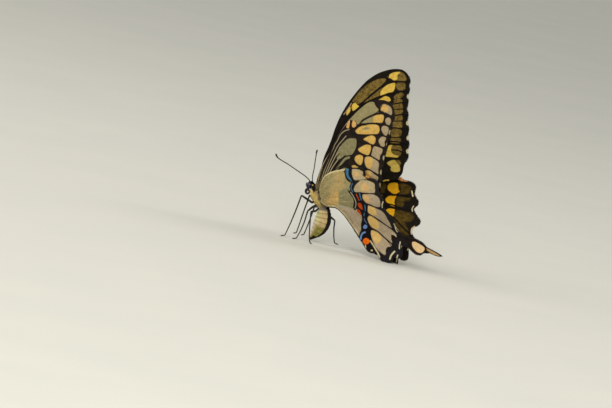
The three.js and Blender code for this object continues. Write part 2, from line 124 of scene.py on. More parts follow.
# ------------------------------------------------------------------ markings of the forewing
# Closed outlines in the wing's own plane.  A line among them starts with its width: [width, point, ...]
FW_UNDER = {
    "cell": [
        [(13.1, 32.1), (16.1, 32.8), (17, 30.8), (16.9, 28.4), (15.9, 25.9), (14.3, 24.4), (11.1, 23.3),
         (9.5, 21.6), (7.2, 20.1), (6.3, 20.8), (6.5, 24.4), (7.8, 27.2), (9.7, 29.9), (11.3, 31.4)],
        [1.1, (14.2, 23.6), (12.1, 22.2), (10.4, 19.9), (9, 17.6), (7.3, 15.2), (4.8, 12.2), (2.6, 9.4)],
        [(3, 8.2), (7, 12.4), (12.4, 18), (17.6, 18.2), (23, 18.4), (25, 14.6), (24, 9.6), (16, 5.6),
         (8, 3.6), (3, 4.4)],
    ],
    "olive": [
        [(9.5, 40), (10.9, 43.1), (13.6, 45.7), (15.7, 47.8), (17.8, 50), (20.1, 51.6), (22.4, 52.1),
         (23.9, 50.9), (25.9, 50.2), (26.5, 49), (23.7, 47.2), (20.2, 44.8), (16.9, 42), (15, 39.3),
         (12.9, 40.4), (11, 39.8)],
        [(16.4, 40.5), (19.4, 43), (22.3, 45.1), (24.6, 46.5), (25.5, 44), (19.9, 41.6)],
        [(18.3, 38.5), (20.4, 40), (23, 40.1), (20.9, 38.7)],
    ],
    "sub": [
        [(27.3, 50.5), (27.3, 52.3), (29, 53.5), (32.1, 53.9), (34.4, 53.3), (35.5, 51.3), (34.9, 50.4),
         (32.2, 50.4), (29.1, 50.2)],
        [(32.1, 47.4), (33.5, 48.8), (35.4, 48.6), (36, 47.5), (35.1, 45.8), (32.8, 46)],
        [(30.8, 42.7), (31.2, 43.9), (33.1, 44.7), (35.4, 44.4), (35.7, 43.5), (35.5, 41.9), (34.7, 40.7),
         (32.6, 41)],
        [(30.8, 36.9), (31.6, 38.8), (33, 39.7), (34.9, 39.9), (35.1, 39), (34.8, 37.8), (35.4, 36.4),
         (34.8, 35.6), (32.7, 35.4)],
        [(28.4, 33.3), (29.9, 34.1), (34.2, 34.3), (34.7, 33.1), (33.9, 31.2), (33.9, 29.2), (32.4, 29),
         (28.1, 29.4), (28.2, 30.8)],
        [(24.4, 26.7), (25.6, 27.8), (27.9, 28.4), (30.1, 28.4), (33.5, 28), (34.3, 27.3), (34.7, 24.6),
         (35.1, 23), (33.1, 22.9), (29.6, 23.1), (26.5, 23.2), (25.1, 24.6)],
        [(25.8, 20.9), (27.7, 22.1), (29.7, 22.5), (32.6, 21.8), (35.1, 21.5), (34.8, 19.8), (32.6, 19.2),
         (28.2, 19.3), (26.2, 19.8)],
        [(27, 17), (31, 17.4), (34, 15.4), (33, 10.6), (28, 9.6), (26.4, 13)],
    ],
    "warm": [
        [(24.4, 46.3), (26.4, 47.6), (29.9, 48.7), (30.8, 47.9), (30.4, 45.4), (27.5, 44.4), (24.4, 43.6)],
        [(14.5, 36), (15.6, 37.6), (17.2, 39.1), (20.2, 40.6), (23.3, 42.1), (27.2, 43.2), (29.1, 42.9),
         (29.9, 41.2), (29.1, 39.7), (25.3, 38.2), (18.9, 36.1), (16, 35.4)],
        [(20.9, 34.3), (22.8, 36.1), (24.9, 37.4), (26.8, 37.9), (28.6, 37.1), (28.7, 35.5), (27.7, 34.3),
         (26, 34), (23.5, 34.2)],
        [(18.7, 28.8), (20.4, 30.5), (22.4, 32.1), (24.5, 33.2), (25.9, 33.3), (27, 32.1), (26.9, 30.4),
         (26, 28.7), (23.7, 28.3), (20.5, 28.2)],
        [(18, 23.8), (18.2, 25.3), (19.9, 26.6), (21.8, 27.4), (23.3, 25.9), (23.2, 23.7), (22.3, 22.7),
         (20.1, 22.7)],
        [(16.9, 20.4), (18.7, 21.4), (21.1, 21.5), (20.6, 20.7), (17.7, 19.8)],
    ],
    "glow": [
        [(27.9, 50.8), (27.9, 52), (29.2, 52.9), (31.6, 53), (32.4, 51.8), (31, 50.9), (29.1, 50.7)],
        [(25.2, 26.5), (26, 27.4), (27.9, 27.9), (29.4, 27.6), (29.2, 24), (26.9, 23.7), (25.8, 24.8)],
        [(26.6, 20.9), (27.9, 21.6), (29.6, 21.6), (30, 20.4), (28.6, 19.8), (26.9, 20)],
    ],
    "grey": [[(18.4, 38.4), (20.4, 39.9), (23.2, 40.2), (20.9, 38.7)]],
    "orange": [
        [(11.3, 38.3), (11.9, 40.3), (14.1, 39.2), (13.8, 37.5), (12, 37.1)],
        [(8.3, 35.8), (8.5, 37.6), (9.4, 39.6), (10, 37.6), (9.7, 35.6)],
        [.4, (29.4, 20.5), (31.8, 20.5), (33.6, 20.3)],
    ],
    "streak": [
        [.55, (9.5, 40), (7.8, 37.6), (6.2, 35.1), (4.7, 32.2), (3.5, 29.5), (2.7, 27.6), (1.9, 25.6),
         (1.2, 23.5), (.7, 21), (-.2, 18.3), (-1.1, 15.6), (-1.8, 12.5), (-2.3, 9.5), (-1.9, 6.3)],
        [.8, (8.2, 38), (6.2, 35.1), (4.7, 32.2), (3.5, 29.5)],
        [.42, (10.6, 35.4), (8.3, 34.2), (6.6, 32.7), (5.2, 30.5), (4.4, 27.9), (3.5, 26.2), (2.9, 23.6),
         (2.2, 20.5), (1.5, 17.4), (.7, 14.3), (.2, 11.8), (0, 8.9)],
        [.5, (9.3, 31.9), (7.7, 29.5), (6, 27), (4.8, 24.3), (4, 21.4), (3, 18), (2.1, 14.3), (1.4, 11.2),
         (.9, 8.3)],
        [.5, (7.3, 26.3), (5.7, 21.7), (4.6, 18.5), (3.7, 15.8), (2.9, 13), (2.2, 9.6)],
        [.5, (8.6, 22.3), (7.3, 19.9), (6.2, 17.9), (4.7, 14.8), (3.5, 11)],
    ],
    "vein": [
        [.45, (7.7, 23.1), (6.3, 20.8), (5.2, 17.8), (4.1, 14.8), (2.9, 10.8)],
        [.45, (9.9, 21.5), (7.9, 19.2), (5.9, 15.4), (4.3, 11.8)],
        [.5, (14.9, 24.7), (11.3, 22.8), (9.2, 20.3), (7.9, 18), (6.1, 14.8)],
    ],
}
FW_UPPER = {
    # Painted light: the olive 'pale' blocks stand for the underside's pale blocks glowing through the wing
    # with light from behind
    "pale": [
        [(11.4, 40.6), (13, 43.1), (15.7, 46.3), (18.4, 48.4), (21.1, 49.9), (23.8, 50.9), (26.1, 50.9),
         (26.9, 49.9), (25.7, 48.3), (22.1, 45.6), (18.4, 42.7), (15.7, 40.4), (13.7, 39.5), (12.6, 40.2)],
        [(15.7, 39.7), (18.9, 42.1), (22.5, 45.1), (24.8, 46.8), (24.6, 44.9), (23.7, 43.2), (20.7, 41.8),
         (18.5, 40.6)],
        [(31.6, 53.9), (33.8, 53.8), (35.5, 52.1), (35.8, 50.3), (33.3, 49.9), (31.2, 50.2)],
        [(31.3, 48.6), (33.4, 49.4), (35.3, 48.6), (35.2, 46.4), (33.2, 45.5), (31.4, 46.6)],
        [(30.2, 42.7), (31.6, 44.1), (33.8, 44.6), (34.7, 43.6), (33.4, 42.3), (30.7, 41.9)],
        [(30.2, 41.3), (33.4, 41.7), (34.1, 40.2), (30.5, 39.8)],
        [(29.6, 39.6), (33.6, 39.9), (34.2, 37.6), (30.2, 37.3)],
        [(29.8, 36.8), (34.2, 36.9), (33.8, 35.3), (30, 35.2)],
        [(28.8, 34.8), (33.6, 35), (34, 32.3), (28.9, 32)],
        [(28.6, 31.2), (33.8, 31.4), (33.8, 28.9), (28.6, 28.9)],
        [(29.2, 28), (33.5, 28.1), (33.7, 25.6), (32.4, 24.8), (29.2, 24.8)],
        [(28.8, 24.1), (33.3, 24.1), (33.1, 22), (28.8, 22.2)],
        [(29.3, 20.5), (29.9, 20.8), (32.9, 20.8), (33.7, 20.2), (33.8, 17.3), (33, 16.3), (30.9, 16.5),
         (29.5, 17.5), (29, 19.1)],
        [(31.5, 14.1), (33.1, 14.1), (33.7, 12.5), (33.1, 12.1)],
    ],
    "warm": [
        [(27.2, 51.7), (28.8, 53.2), (31.1, 53.9), (33, 53.8), (31.7, 52.3), (31.8, 51), (30.4, 50.1),
         (28.8, 51)],
        [(24.1, 43.3), (24.5, 45.6), (26.1, 47.4), (28.4, 48.7), (30.6, 48.9), (30.6, 46.9), (29.8, 45.1),
         (27.5, 44.6)],
        [(18.6, 38), (24.3, 42), (26.2, 43), (28, 42.5), (28.7, 41), (26.4, 40.5), (21.5, 38.4)],
        [(19.4, 33.2), (22, 36.6), (26, 37.8), (26.8, 35.4), (22.6, 32.8)],
        [(16.6, 27.2), (19, 31.2), (23.6, 32.2), (23.6, 29.4), (19.6, 26.6)],
        [(14, 21), (15.6, 25.2), (20, 26.4), (20.4, 22.8), (17, 20)],
        [(3, 6.5), (7, 12), (11.6, 17.6), (17.6, 19.2), (17.4, 14.6), (12, 9.6), (9, 3.4), (3.6, 2.6)],
        [(11.1, 37.7), (11.4, 39.3), (12.6, 40), (13.6, 39.1), (14.6, 38.2), (13.5, 37.3), (12.4, 36.3),
         (11.5, 36.6)],
        [(10.4, 38.3), (10.5, 36.8), (9.9, 35.4), (8.9, 34.4), (8.7, 35.7), (9.5, 37.2)],
        [.5, (25.9, 4.9), (27.1, 5.2), (28.4, 5.2)],
    ],
    "straw": [
        [(27.3, 13), (29.1, 14.1), (31, 14.2), (31.9, 13), (33.1, 11.6), (33.1, 9.2), (29.7, 9.2),
         (29, 10.1), (29.2, 11.2), (28, 12.1)],
    ],
    "gold": [
        [(28.1, 20.8), (29.7, 21), (29.2, 20), (29.1, 18.6), (29.6, 17.5), (30.9, 16.6), (32.5, 16.1),
         (32.3, 15.6), (28.7, 15.7), (26.7, 16), (27, 17.5), (27.5, 19.3)],
    ],
    "streak": [[.4, (11, 39.9), (10.1, 38.4), (8.7, 36.3), (7.5, 34.8)]],
    "vein": [
        [.5, (14.8, 39.3), (18.4, 42.3), (22.5, 45.5), (26.1, 48.1)], [.4, (28.4, 37.1), (34.6, 37.2)],
        [.4, (28.4, 31.7), (34.4, 31.9)], [.4, (28, 24.4), (34.4, 24.5)],
        [.5, (27, 21.4), (29.5, 21.6), (34, 21.5), (36.3, 21.4)],
    ],
}
FW_VEINS = [
    [(-1.9, 6.3), (-.8, 10.5), (.9, 16.1), (2.6, 21.6), (4.7, 26.8), (7.1, 31.2), (10.7, 35.2)],
    [(.5, 8.6), (3.7, 11.6), (6.7, 15), (9.4, 17.6), (12.7, 20.4)],
    [(10.7, 35.2), (13.7, 34.6), (16.6, 33), (17.8, 29.9), (17.3, 27.1), (16, 24.6), (12.7, 20.4)],
    [(10.7, 35.2), (13, 36.8), (15.4, 39), (17.5, 41.5), (19.9, 43.8), (22.7, 46), (26.2, 48.1),
     (30.1, 49.4), (34, 49.5), (37.4, 49.8)],
    [(22.7, 46), (26.7, 49.8), (28.4, 54.6)],
    [(15.5, 39), (18.8, 40.7), (22.5, 42.4), (27, 43.9), (31, 44.7), (34, 45.2), (37.3, 45.6)],
    [(10.8, 35), (13.7, 34.6), (17.8, 35.3), (22.9, 37), (29.2, 39.3), (33.6, 40.1), (36.7, 40.5)],
    [(16.6, 32.5), (20.1, 32.5), (23.5, 33), (27.5, 33.9), (33.3, 34.7), (36.7, 34.9)],
    [(17.8, 29), (19.4, 27.5), (23.9, 27.6), (27.7, 28.9), (33.6, 28.5), (37, 28.4)],
    [(15.9, 24.8), (19.3, 21.7), (22.7, 22.2), (25.5, 22.2), (29.6, 22.7), (34, 22.2), (37.2, 21.4)],
    [(12.7, 20.4), (17.2, 19.1), (24, 19.8), (26.9, 18.7), (32.4, 18.7), (36.9, 15.8)],
    [(-.4, 1.6), (10, 5.6), (22, 8), (34.4, 8.6)],
]
FW_NOTCHES = [(36.9, 37.4), (36.6, 31), (36.8, 24.3), (36.7, 18.3), (36.8, 42.9)]

# ------------------------------------------------------------------ markings of the hindwing
HW_UNDER = {
    "base": [
        [(1, 18), (1, 23), (1, 26.6), (2.4, 30), (6, 33.4), (9.4, 35.3), (14.8, 36.9), (16, 34),
         (18.1, 31.8), (20.2, 31.5), (19.8, 29.4), (20.9, 27.8), (23.3, 25.6), (24.9, 24.1), (24.8, 20.7),
         (26.5, 19.2), (27, 17.3), (26, 13.8), (25.9, 11), (25, 7.8), (19, 12.4), (15, 16.4), (9, 16.6)],
    ],
    "tan": [
        [(9, 33.4), (14.9, 35.6), (16, 33.6), (16.2, 30.9), (16.3, 28.6), (13, 26.2), (9.6, 23.9),
         (7.7, 23.9), (8.5, 26.4), (10.3, 30)],
    ],
    "fan": [[(6, 19.5), (10.2, 24), (12.7, 26.2), (14, 23.9), (13.8, 20.2), (10.3, 19.2)]],
    "green": [
        [(14.8, 26.6), (17.6, 28.6), (20.2, 27.9), (22.1, 25.3), (23.1, 22.8), (22.5, 20.8), (19.1, 20),
         (15, 20)],
    ],
    "pale": [
        [(19.7, 37.1), (22.1, 38), (25.2, 38.1), (26.8, 37.6), (26.6, 35.9), (25.4, 34.1), (22.4, 33.2),
         (20.9, 34.7)],
        [(26.9, 36), (28.9, 35.3), (30.3, 34.8), (26.1, 33.8), (24.8, 33.7)],
        [(22.8, 28.7), (23.5, 30.9), (25, 32.7), (27.3, 33.8), (30.9, 34.6), (34.1, 34.4), (34.9, 32.8),
         (35.2, 30.6), (33.5, 29.9), (27.5, 28.8), (23.6, 28)],
    ],
    "rose": [
        [(13.9, 18.9), (17.3, 20.1), (21.9, 20), (25, 20.3), (26.5, 19.2), (26.9, 17.2), (26, 13.8),
         (25.7, 11), (24.7, 9.6), (21.2, 12.1), (17.7, 14.6), (15, 16.8)],
        [(28.2, 27.6), (30.6, 28.5), (34.1, 29.2), (37.1, 28.7), (38.3, 27.6), (38.1, 24.9), (36.3, 24.2),
         (33, 24.6), (30.1, 24.9), (28.6, 26.4)],
        [(31.4, 23.3), (33.5, 23.6), (35.6, 23.2), (38.9, 22.7), (41.5, 21.1), (42.3, 18.8), (42.1, 16.6),
         (42.3, 15.3), (39.1, 17.1), (35.2, 18.7), (32.8, 19.5), (31.1, 20.5)],
        [(30.4, 18.1), (32.1, 18.9), (34.5, 18), (38.4, 16.5), (42, 15), (44.3, 13), (41.8, 12.7),
         (41.7, 10.6), (42.3, 9.1), (39, 10.4), (35.3, 12.5), (31.8, 13.8), (30.4, 15.8)],
        [(31.4, 12), (33.2, 12.3), (35.9, 11.3), (39.1, 9.5), (41.8, 8.3), (42.1, 7.5), (40.4, 6.8),
         (39.6, 5.5), (39.8, 3), (37.4, 3.6), (34.4, 5.4), (32.5, 8), (31.5, 10)],
    ],
    "warm": [
        [(31.5, 23.2), (33.4, 23.4), (35.3, 23), (35.3, 20.3), (33.4, 19.9), (31.2, 20.5)],
        [(30.5, 18), (32.1, 18.8), (34.5, 17.9), (35.8, 16.6), (34.9, 13.8), (32, 14.1), (30.5, 15.8)],
        [(31.6, 11.9), (33.2, 12.1), (35.6, 11.2), (36.7, 9.4), (35.2, 7.2), (33.3, 7.7), (31.7, 10.1)],
    ],
    "tail": [
        [(52.9, 11.8), (54.3, 12.3), (56.6, 11.9), (59.4, 11.1), (60.2, 10.4), (59.6, 8.9), (58.2, 7.9),
         (55.9, 8), (53.9, 9.2), (52.9, 10.4)],
    ],
    "smudge": [
        [(21, 36.4), (23.8, 37), (25, 36), (23.8, 34.9), (22, 34.9)],
        [(28.4, 27.4), (30.6, 28.2), (32.2, 27.8), (32.4, 25.2), (30.1, 25.1), (28.8, 26.4)],
        [(26.6, 31.6), (28.2, 33.1), (31.2, 32.6), (31.8, 30.9), (30, 29.8), (27.4, 29.8)],
    ],
    "disc": [
        [.4, (20.8, 27.3), (22.3, 26.2), (23.6, 24.9), (24.4, 23.6), (24.3, 21.9), (23.8, 20.7)],
        [.4, (13.3, 19.5), (15.6, 19.7), (18.5, 19.9), (21.3, 20)],
    ],
    "band": [
        [(14.9, 36.9), (19.5, 38.4), (20.3, 35.4), (21.4, 33.5), (23.1, 32.9), (22.2, 30.8), (22.4, 28.6),
         (23.6, 28), (27.8, 28.6), (28.2, 26.3), (29.7, 24.5), (31.2, 23.5), (30.8, 20.4), (30.9, 18.9),
         (30.1, 17.5), (30.5, 14.9), (31.2, 12.7), (31.3, 10), (32.2, 7.8), (31.5, 7.7), (30.3, 8.6),
         (28.3, 8.1), (27.2, 6.5), (27, 5.1), (25.8, 6.6), (25.5, 9.6), (26.5, 11.2), (26.3, 13.9),
         (27.4, 16.4), (27.3, 18), (26.9, 20.2), (25.4, 21), (25.2, 23.1), (25.8, 24.3), (23.8, 26.2),
         (22.2, 27.2), (20.6, 28.2), (20.2, 30.4), (20.5, 31.7), (17.9, 32.1), (16.1, 34.1)],
        [(29.6, 5), (31, 6), (32.4, 6.1), (33.6, 5), (34.9, 3.2), (36.2, 1.7), (33.1, 1.7), (30.2, 3.1)],
    ],
    "rust": [
        [.55, (24.4, 27.1), (25.4, 26.1), (26.3, 24.8)],
        [(25.5, 23.3), (27.2, 23.7), (28, 22.8), (28.1, 21), (26.8, 21.2), (25.6, 22.2)],
        [(24.7, 20.3), (25.9, 20.6), (26.8, 19.5), (27.1, 18), (26.1, 18.5), (24.9, 19.3)],
    ],
    "anal": [[(27.5, 6.6), (28.3, 7.8), (29.9, 8.1), (31.1, 7.2), (30.5, 5.9), (29.3, 5.2), (27.9, 5.7)]],
    "blue": [
        [(16.3, 37.2), (15.9, 36), (16.7, 34.5), (18, 33.1), (19.8, 32.3), (21, 32), (20, 33.1),
         (18.7, 34.2), (18, 35.6), (17.6, 37.3)],
        [.62, (21.3, 31.2), (20.9, 30), (21.2, 28.8), (22, 27.7)],
        [.6, (26.3, 27.9), (26.8, 26.8), (27.6, 25.4)], [.55, (29.5, 23.2), (29.7, 22), (29.4, 20.8)],
        [.45, (28.7, 19.5), (28.4, 18.3)],
    ],
    "violet": [
        [(27.2, 12.7), (28.1, 14.1), (29.3, 14), (29, 12.6), (27.6, 12.2)],
        [.75, (28.3, 10.7), (26.9, 9.7), (26.3, 8.1), (26.4, 7)],
        [.3, (28.2, 17.1), (28.4, 16), (29.3, 15)],
    ],
    "ray": [
        [.35, (5.4, 20.2), (9, 23.4), (12.6, 26)], [.35, (5.8, 20), (10, 22.2), (13.8, 23.9)],
        [.3, (6, 19.8), (10.4, 20.8), (14, 21.6)], [.3, (14.6, 26.8), (17.8, 28.8)],
        [.3, (15, 24), (19, 26), (21.6, 26.4)], [.3, (15, 21.6), (19.6, 22.6), (23, 23.4)],
        [.3, (8, 30), (13, 31.6), (18, 31.4)], [.25, (4.4, 26), (9, 28.6), (14, 29.4)],
        [.3, (14, 18.6), (19, 16), (23.6, 12.6)], [.3, (17, 18.8), (21.6, 15.6), (25.4, 12.4)],
    ],
    "cream": [
        [.7, (31.4, 7.3), (33, 5.8), (34.5, 4.3), (36, 2.8), (37.3, 1.3)],
        [.75, (1.5, 23.6), (1.5, 25.8), (2.6, 29), (4.6, 31.5), (7.2, 33.2), (12.4, 35.3), (15.2, 36.4)],
        [.7, (32.5, 3.2), (33, 3.3)], [.45, (29.1, 4.9), (29.6, 3.8)],
    ],
    "vein": [
        [.5, (19, 27.8), (20.8, 26.4), (22.4, 25.4), (23.2, 24), (23.3, 22.4), (22.7, 20.7)],
        [.55, (31.1, 19.8), (35.2, 18.6), (39, 16.9), (42.5, 15.1)],
        [.55, (31.5, 13.5), (35.3, 12.3), (39, 10.2), (42.2, 8.6)],
        [1.7, (20.8, 27.3), (22.3, 26.2), (23.6, 24.9), (24.4, 23.6), (24.3, 21.9), (23.8, 20.7)],
    ],
    "fringe": [
        [.5, (37.4, 33.8), (38.2, 32.2), (38.6, 30.5)], [.5, (40.2, 27.4), (39.5, 25.8), (39.4, 24.6)],
        [.5, (45, 18.2), (44.4, 15.8), (45, 14.8)], [.4, (42.1, 13.7), (44.3, 12.4)],
        [.6, (46.4, 10.3), (46.2, 8.9), (46.3, 7.3)],
        [.8, (44.1, 5.4), (43.4, 4.4), (42.7, 3), (42.5, 1.6)], [.6, (45.8, 2.9), (46, 4.2)],
        [.6, (35.7, 3.2), (36.6, 2.2)],
    ],
}
HW_UPPER = {
    "mist": [
        [(29.8, 33.8), (31.6, 34.5), (34.3, 34.5), (35.2, 32.9), (34.6, 30.7), (31.4, 29.4), (31.2, 31.4)],
        [(30.6, 27.8), (33.4, 29), (36.1, 29.2), (36.1, 27.9), (34.1, 27.1), (34.7, 24.9), (32.4, 23.9)],
        [(32, 21.5), (34.6, 23.3), (37, 22.6), (39.4, 22.7), (41.8, 21.7), (41.9, 19.9), (39.7, 18.7),
         (42.6, 16.4), (44.6, 14.2), (41.1, 14.2), (35.2, 17.7)],
        [(3, 19), (4, 28), (10, 33), (18, 35), (24, 33), (24, 24), (22, 15), (14, 17.6)],
    ],
    "warm": [
        [(25.4, 30.8), (25.4, 32.4), (26.2, 33.4), (28.9, 33.9), (29.7, 32.4), (30.3, 31.2), (30.9, 30.7),
         (30.2, 29.8), (29.1, 29), (27.6, 29.3), (26.3, 29.9)],
        [(26.1, 25.9), (26.6, 27), (27.9, 28), (30.2, 28.4), (30, 27), (30.5, 25.2), (31.4, 23.9),
         (29.5, 23.8), (27.8, 24.5), (26.6, 25.1)],
        [(28.3, 21.2), (28.9, 22.1), (31.6, 22.9), (32.4, 21.6), (33, 19.2), (30.8, 19.8), (29.3, 20.3)],
        [(29, 16.6), (32.6, 17.2), (35.4, 15.4), (34.2, 12.6), (29.4, 13.4)],
        [(28.6, 11), (32, 11), (34.6, 9.6), (33.6, 7), (29.6, 8.6)],
        [(3.5, 20.5), (4.5, 27.4), (10, 32), (17.5, 33.4), (20, 27), (17.2, 20.4), (10, 19)],
        [.4, (22.8, 33.9), (25.1, 34.4)],
    ],
    "tail": [[(54.4, 12.2), (57.4, 11.9), (59.8, 10.2), (60, 9.2), (58.6, 8.1), (56.4, 7.9), (54.6, 9.6)]],
    "rust": [
        [.9, (28.4, 36.8), (29.4, 36), (31.3, 35.6), (32.4, 35.7)],
        [(27.5, 6.6), (28.3, 7.8), (29.9, 8.1), (31.1, 7.2), (30.5, 5.9), (29.3, 5.2), (27.9, 5.7)],
    ],
    "blue": [[.9, (26.9, 9.7), (26.3, 8.1), (26.6, 6.9)]],
    "vein": [
        [.8, (24.9, 27.5), (29.9, 28.8), (35.6, 29.3)], [.8, (27.4, 23), (32.3, 23.1), (38.3, 23.6)],
        [.7, (23.2, 34.3), (29.8, 34.9), (34.5, 35.5)],
    ],
    "fringe": [
        [.55, (35.8, 32.2), (37.1, 30)], [.4, (39.1, 26.1), (39.2, 24.7), (39.9, 23.8)],
        [.5, (44.9, 18.2), (44.4, 17.2), (44.9, 16), (45.7, 15)], [.5, (47.2, 9.3), (46.9, 8)],
        [.5, (43.9, 4.2), (43.1, 3.4), (43.1, 1.4)],
    ],
}
HW_VEINS = [
    [(3, 22), (8, 27), (13, 30.4), (17.1, 30.7), (24, 33.4), (30, 35), (37, 34)],
    [(17.1, 30.7), (20.2, 27.7), (22.5, 25.6), (24, 24), (24.2, 22.2), (23, 20.4)],
    [(20.6, 27.6), (28, 28.2), (34.7, 29.8), (38.6, 29.8)],
    [(24.3, 24), (30.1, 24.2), (34.1, 23.9), (39.8, 24.1)],
    [(23.8, 21), (31.1, 19.8), (35.2, 18.6), (39, 16.9), (44.8, 14.8)],
    [(23, 20), (31.5, 13.5), (35.3, 12.3), (39, 10.2), (43.6, 6)],
    [(43, 12.6), (48, 11.4), (51, 10.9)],
    [(3, 20.5), (10.9, 19.5), (15.6, 19.7), (20.8, 20)],
    [(8, 19.4), (18, 16.6), (25, 11), (32, 4), (35.3, 3.1)],
    [(3, 22.4), (4.4, 28), (12, 34), (17.4, 36.4)],
    [(5, 20.6), (14, 23.6), (23.4, 22.4)],
]

# ------------------------------------------------------------------ sizes of body and limbs
BODY = [                                 # [x, z, half width, half depth] of the skin, head to tail
    (-7, 24.45, .15, .15), (-6.75, 24.5, .95, 1), (-6.2, 24.5, 1.45, 1.5), (-5.4, 24.4, 1.6, 1.65),
    (-4.75, 24.3, 1.3, 1.35), (-4.35, 24.2, 1.15, 1.2), (-3.95, 24, 1.6, 1.6), (-3, 23.5, 2.6, 2.7),
    (-1.6, 22.65, 3.25, 3.7), (.1, 21.25, 3.5, 4.1), (1.6, 19.6, 3.4, 4), (2.7, 18, 2.9, 3.4),
    (3.35, 16.8, 2, 2.3), (3.62, 16.1, 1.8, 2), (3.75, 15.2, 2.4, 2.45), (3.9, 13.9, 2.95, 3),
    (4.05, 12.2, 3.4, 3.45), (4.05, 10.3, 3.65, 3.7), (3.75, 8.3, 3.65, 3.7), (3.15, 6.4, 3.3, 3.35),
    (2.25, 4.7, 2.75, 2.75), (1.2, 3.2, 2, 2), (.3, 1.9, 1.3, 1.3), (-.25, .95, .8, .8), (-.45, .4, .3, .3),
]
BODY_GRID = (280, 84)                    # rows along the body and sides round it
RINGS_FROM, RING_LONG = 15.6, 1.95       # height where the abdomen's rings start and the length of one
LEGS = {
    "leg_fore_left": [
        (-1.2, -1.6, 18.3), (-1.5, -3, 17.2), (-5.5, -7, 19.6), (-5.7, -9.1, 12.4), (-6.4, -10.2, 6.4),
        (-7.3, -11.4, .75), (-8.7, -12.2, .27),
    ],
    "leg_mid_left": [
        (.6, -1.8, 16.9), (-.4, -3.6, 15.6), (-1.2, -6.2, 13.5), (-.8, -8.1, 8.2), (-1.2, -9, 4.4),
        (-2, -10, .7), (-3.3, -10.9, .27),
    ],
    "leg_hind_left": [
        (1.6, -1.9, 15.3), (1.5, -3.6, 14.1), (.7, -6.6, 13.6), (2.4, -8.3, 7.6), (3.7, -9.3, 3.8),
        (5, -10.2, .7), (6.4, -11, .27),
    ],
    "leg_fore_right": [
        (-1.6, 1.4, 18.2), (-2.4, 2.6, 16.9), (-7.6, 4.8, 19.3), (-9.4, 6.2, 12.2), (-10.6, 7, 6.2),
        (-11.8, 7.8, .75), (-13.3, 8.4, .27),
    ],
    "leg_mid_right": [
        (-.4, 1.8, 16.6), (-1.2, 3.2, 15.5), (-4.6, 6, 14.6), (-6.4, 7.7, 8.2), (-7.5, 8.5, 4.2),
        (-8.7, 9.4, .7), (-10.1, 10.2, .27),
    ],
    "leg_hind_right": [
        (1.6, 1.9, 15.3), (2.6, 4.4, 13.2), (6.5, 6.9, 10.9), (6.2, 8.1, 7.2), (6.6, 8.9, 3.6),
        (7.2, 9.7, .7), (8.4, 10.7, .27),
    ],
}
LEG_GIRTH = (.42, .5, .36, .31, .27, .25, .25)   # half width at each joint
FEELERS = {
    "antenna_left": [
        (-5.5, -.75, 25.6), (-6.7, -1.7, 27), (-8.6, -3.5, 28.4), (-11.4, -6.3, 30.1), (-14.6, -9.4, 32),
        (-17, -11.8, 33.2), (-18.3, -13.2, 34.2), (-18.9, -14.2, 35.6),
    ],
    "antenna_right": [
        (-5.5, .75, 25.6), (-6.4, 1.7, 27.2), (-7.5, 3.4, 28.9), (-8.9, 6.2, 31), (-10.6, 9, 33.9),
        (-12, 11.4, 36.3), (-12.9, 12.9, 37.7), (-13.3, 13.8, 39),
    ],
}
CLUB = .955                              # how far along a feeler its club is thickest
EYE_AT = (-5.85, -1.55, 24.15)           # middle of the left eye
EYE_SIZE = (1.2, 1.0, 1.45)              # half length, half width and half depth
PALP = [(-6, .62, 23.1), (-6.7, .62, 23.4), (-7.37, .62, 24.15), (-7.35, .62, 24.9)]
TONGUE = {"x": -6.5, "z": 21.2, "turns": 2.4, "inner": .3, "outer": 1.45, "girth": .28}

# ------------------------------------------------------------------ coat
# Tufts: how many on each set, their length, half width and rise from the skin in radians
ROOT_HAIR = (2600, .8, .05, .25)
PALP_HAIR = (1500, .34, .035, .5)
LEG_SPINES = (420, .3, .028, .45)
HEAD_HAIR = (7500, .42, .045, .75)
THORAX_HAIR = (12000, None, .05, .5)     # its length is set in the panel
ABDOMEN_SCALES = (12000, .55, .075, .16)
FRINGE_STEP = .05                        # distance between the scales of the fringe
SINK = .08                               # how deep a tuft's root sits in the skin
TUFT_POINTS = 10                         # points of one tuft's mesh
PATCH_HALF, PATCH_ROWS, PATCH_TIP = .0012, (-.0015, -.0003, .0008), .0015   # a tuft's patch on the map
SEEDS = {"fringe": 10, "root": 20, "coat": 40, "palp": 60, "leg": 70}   # random seeds start here

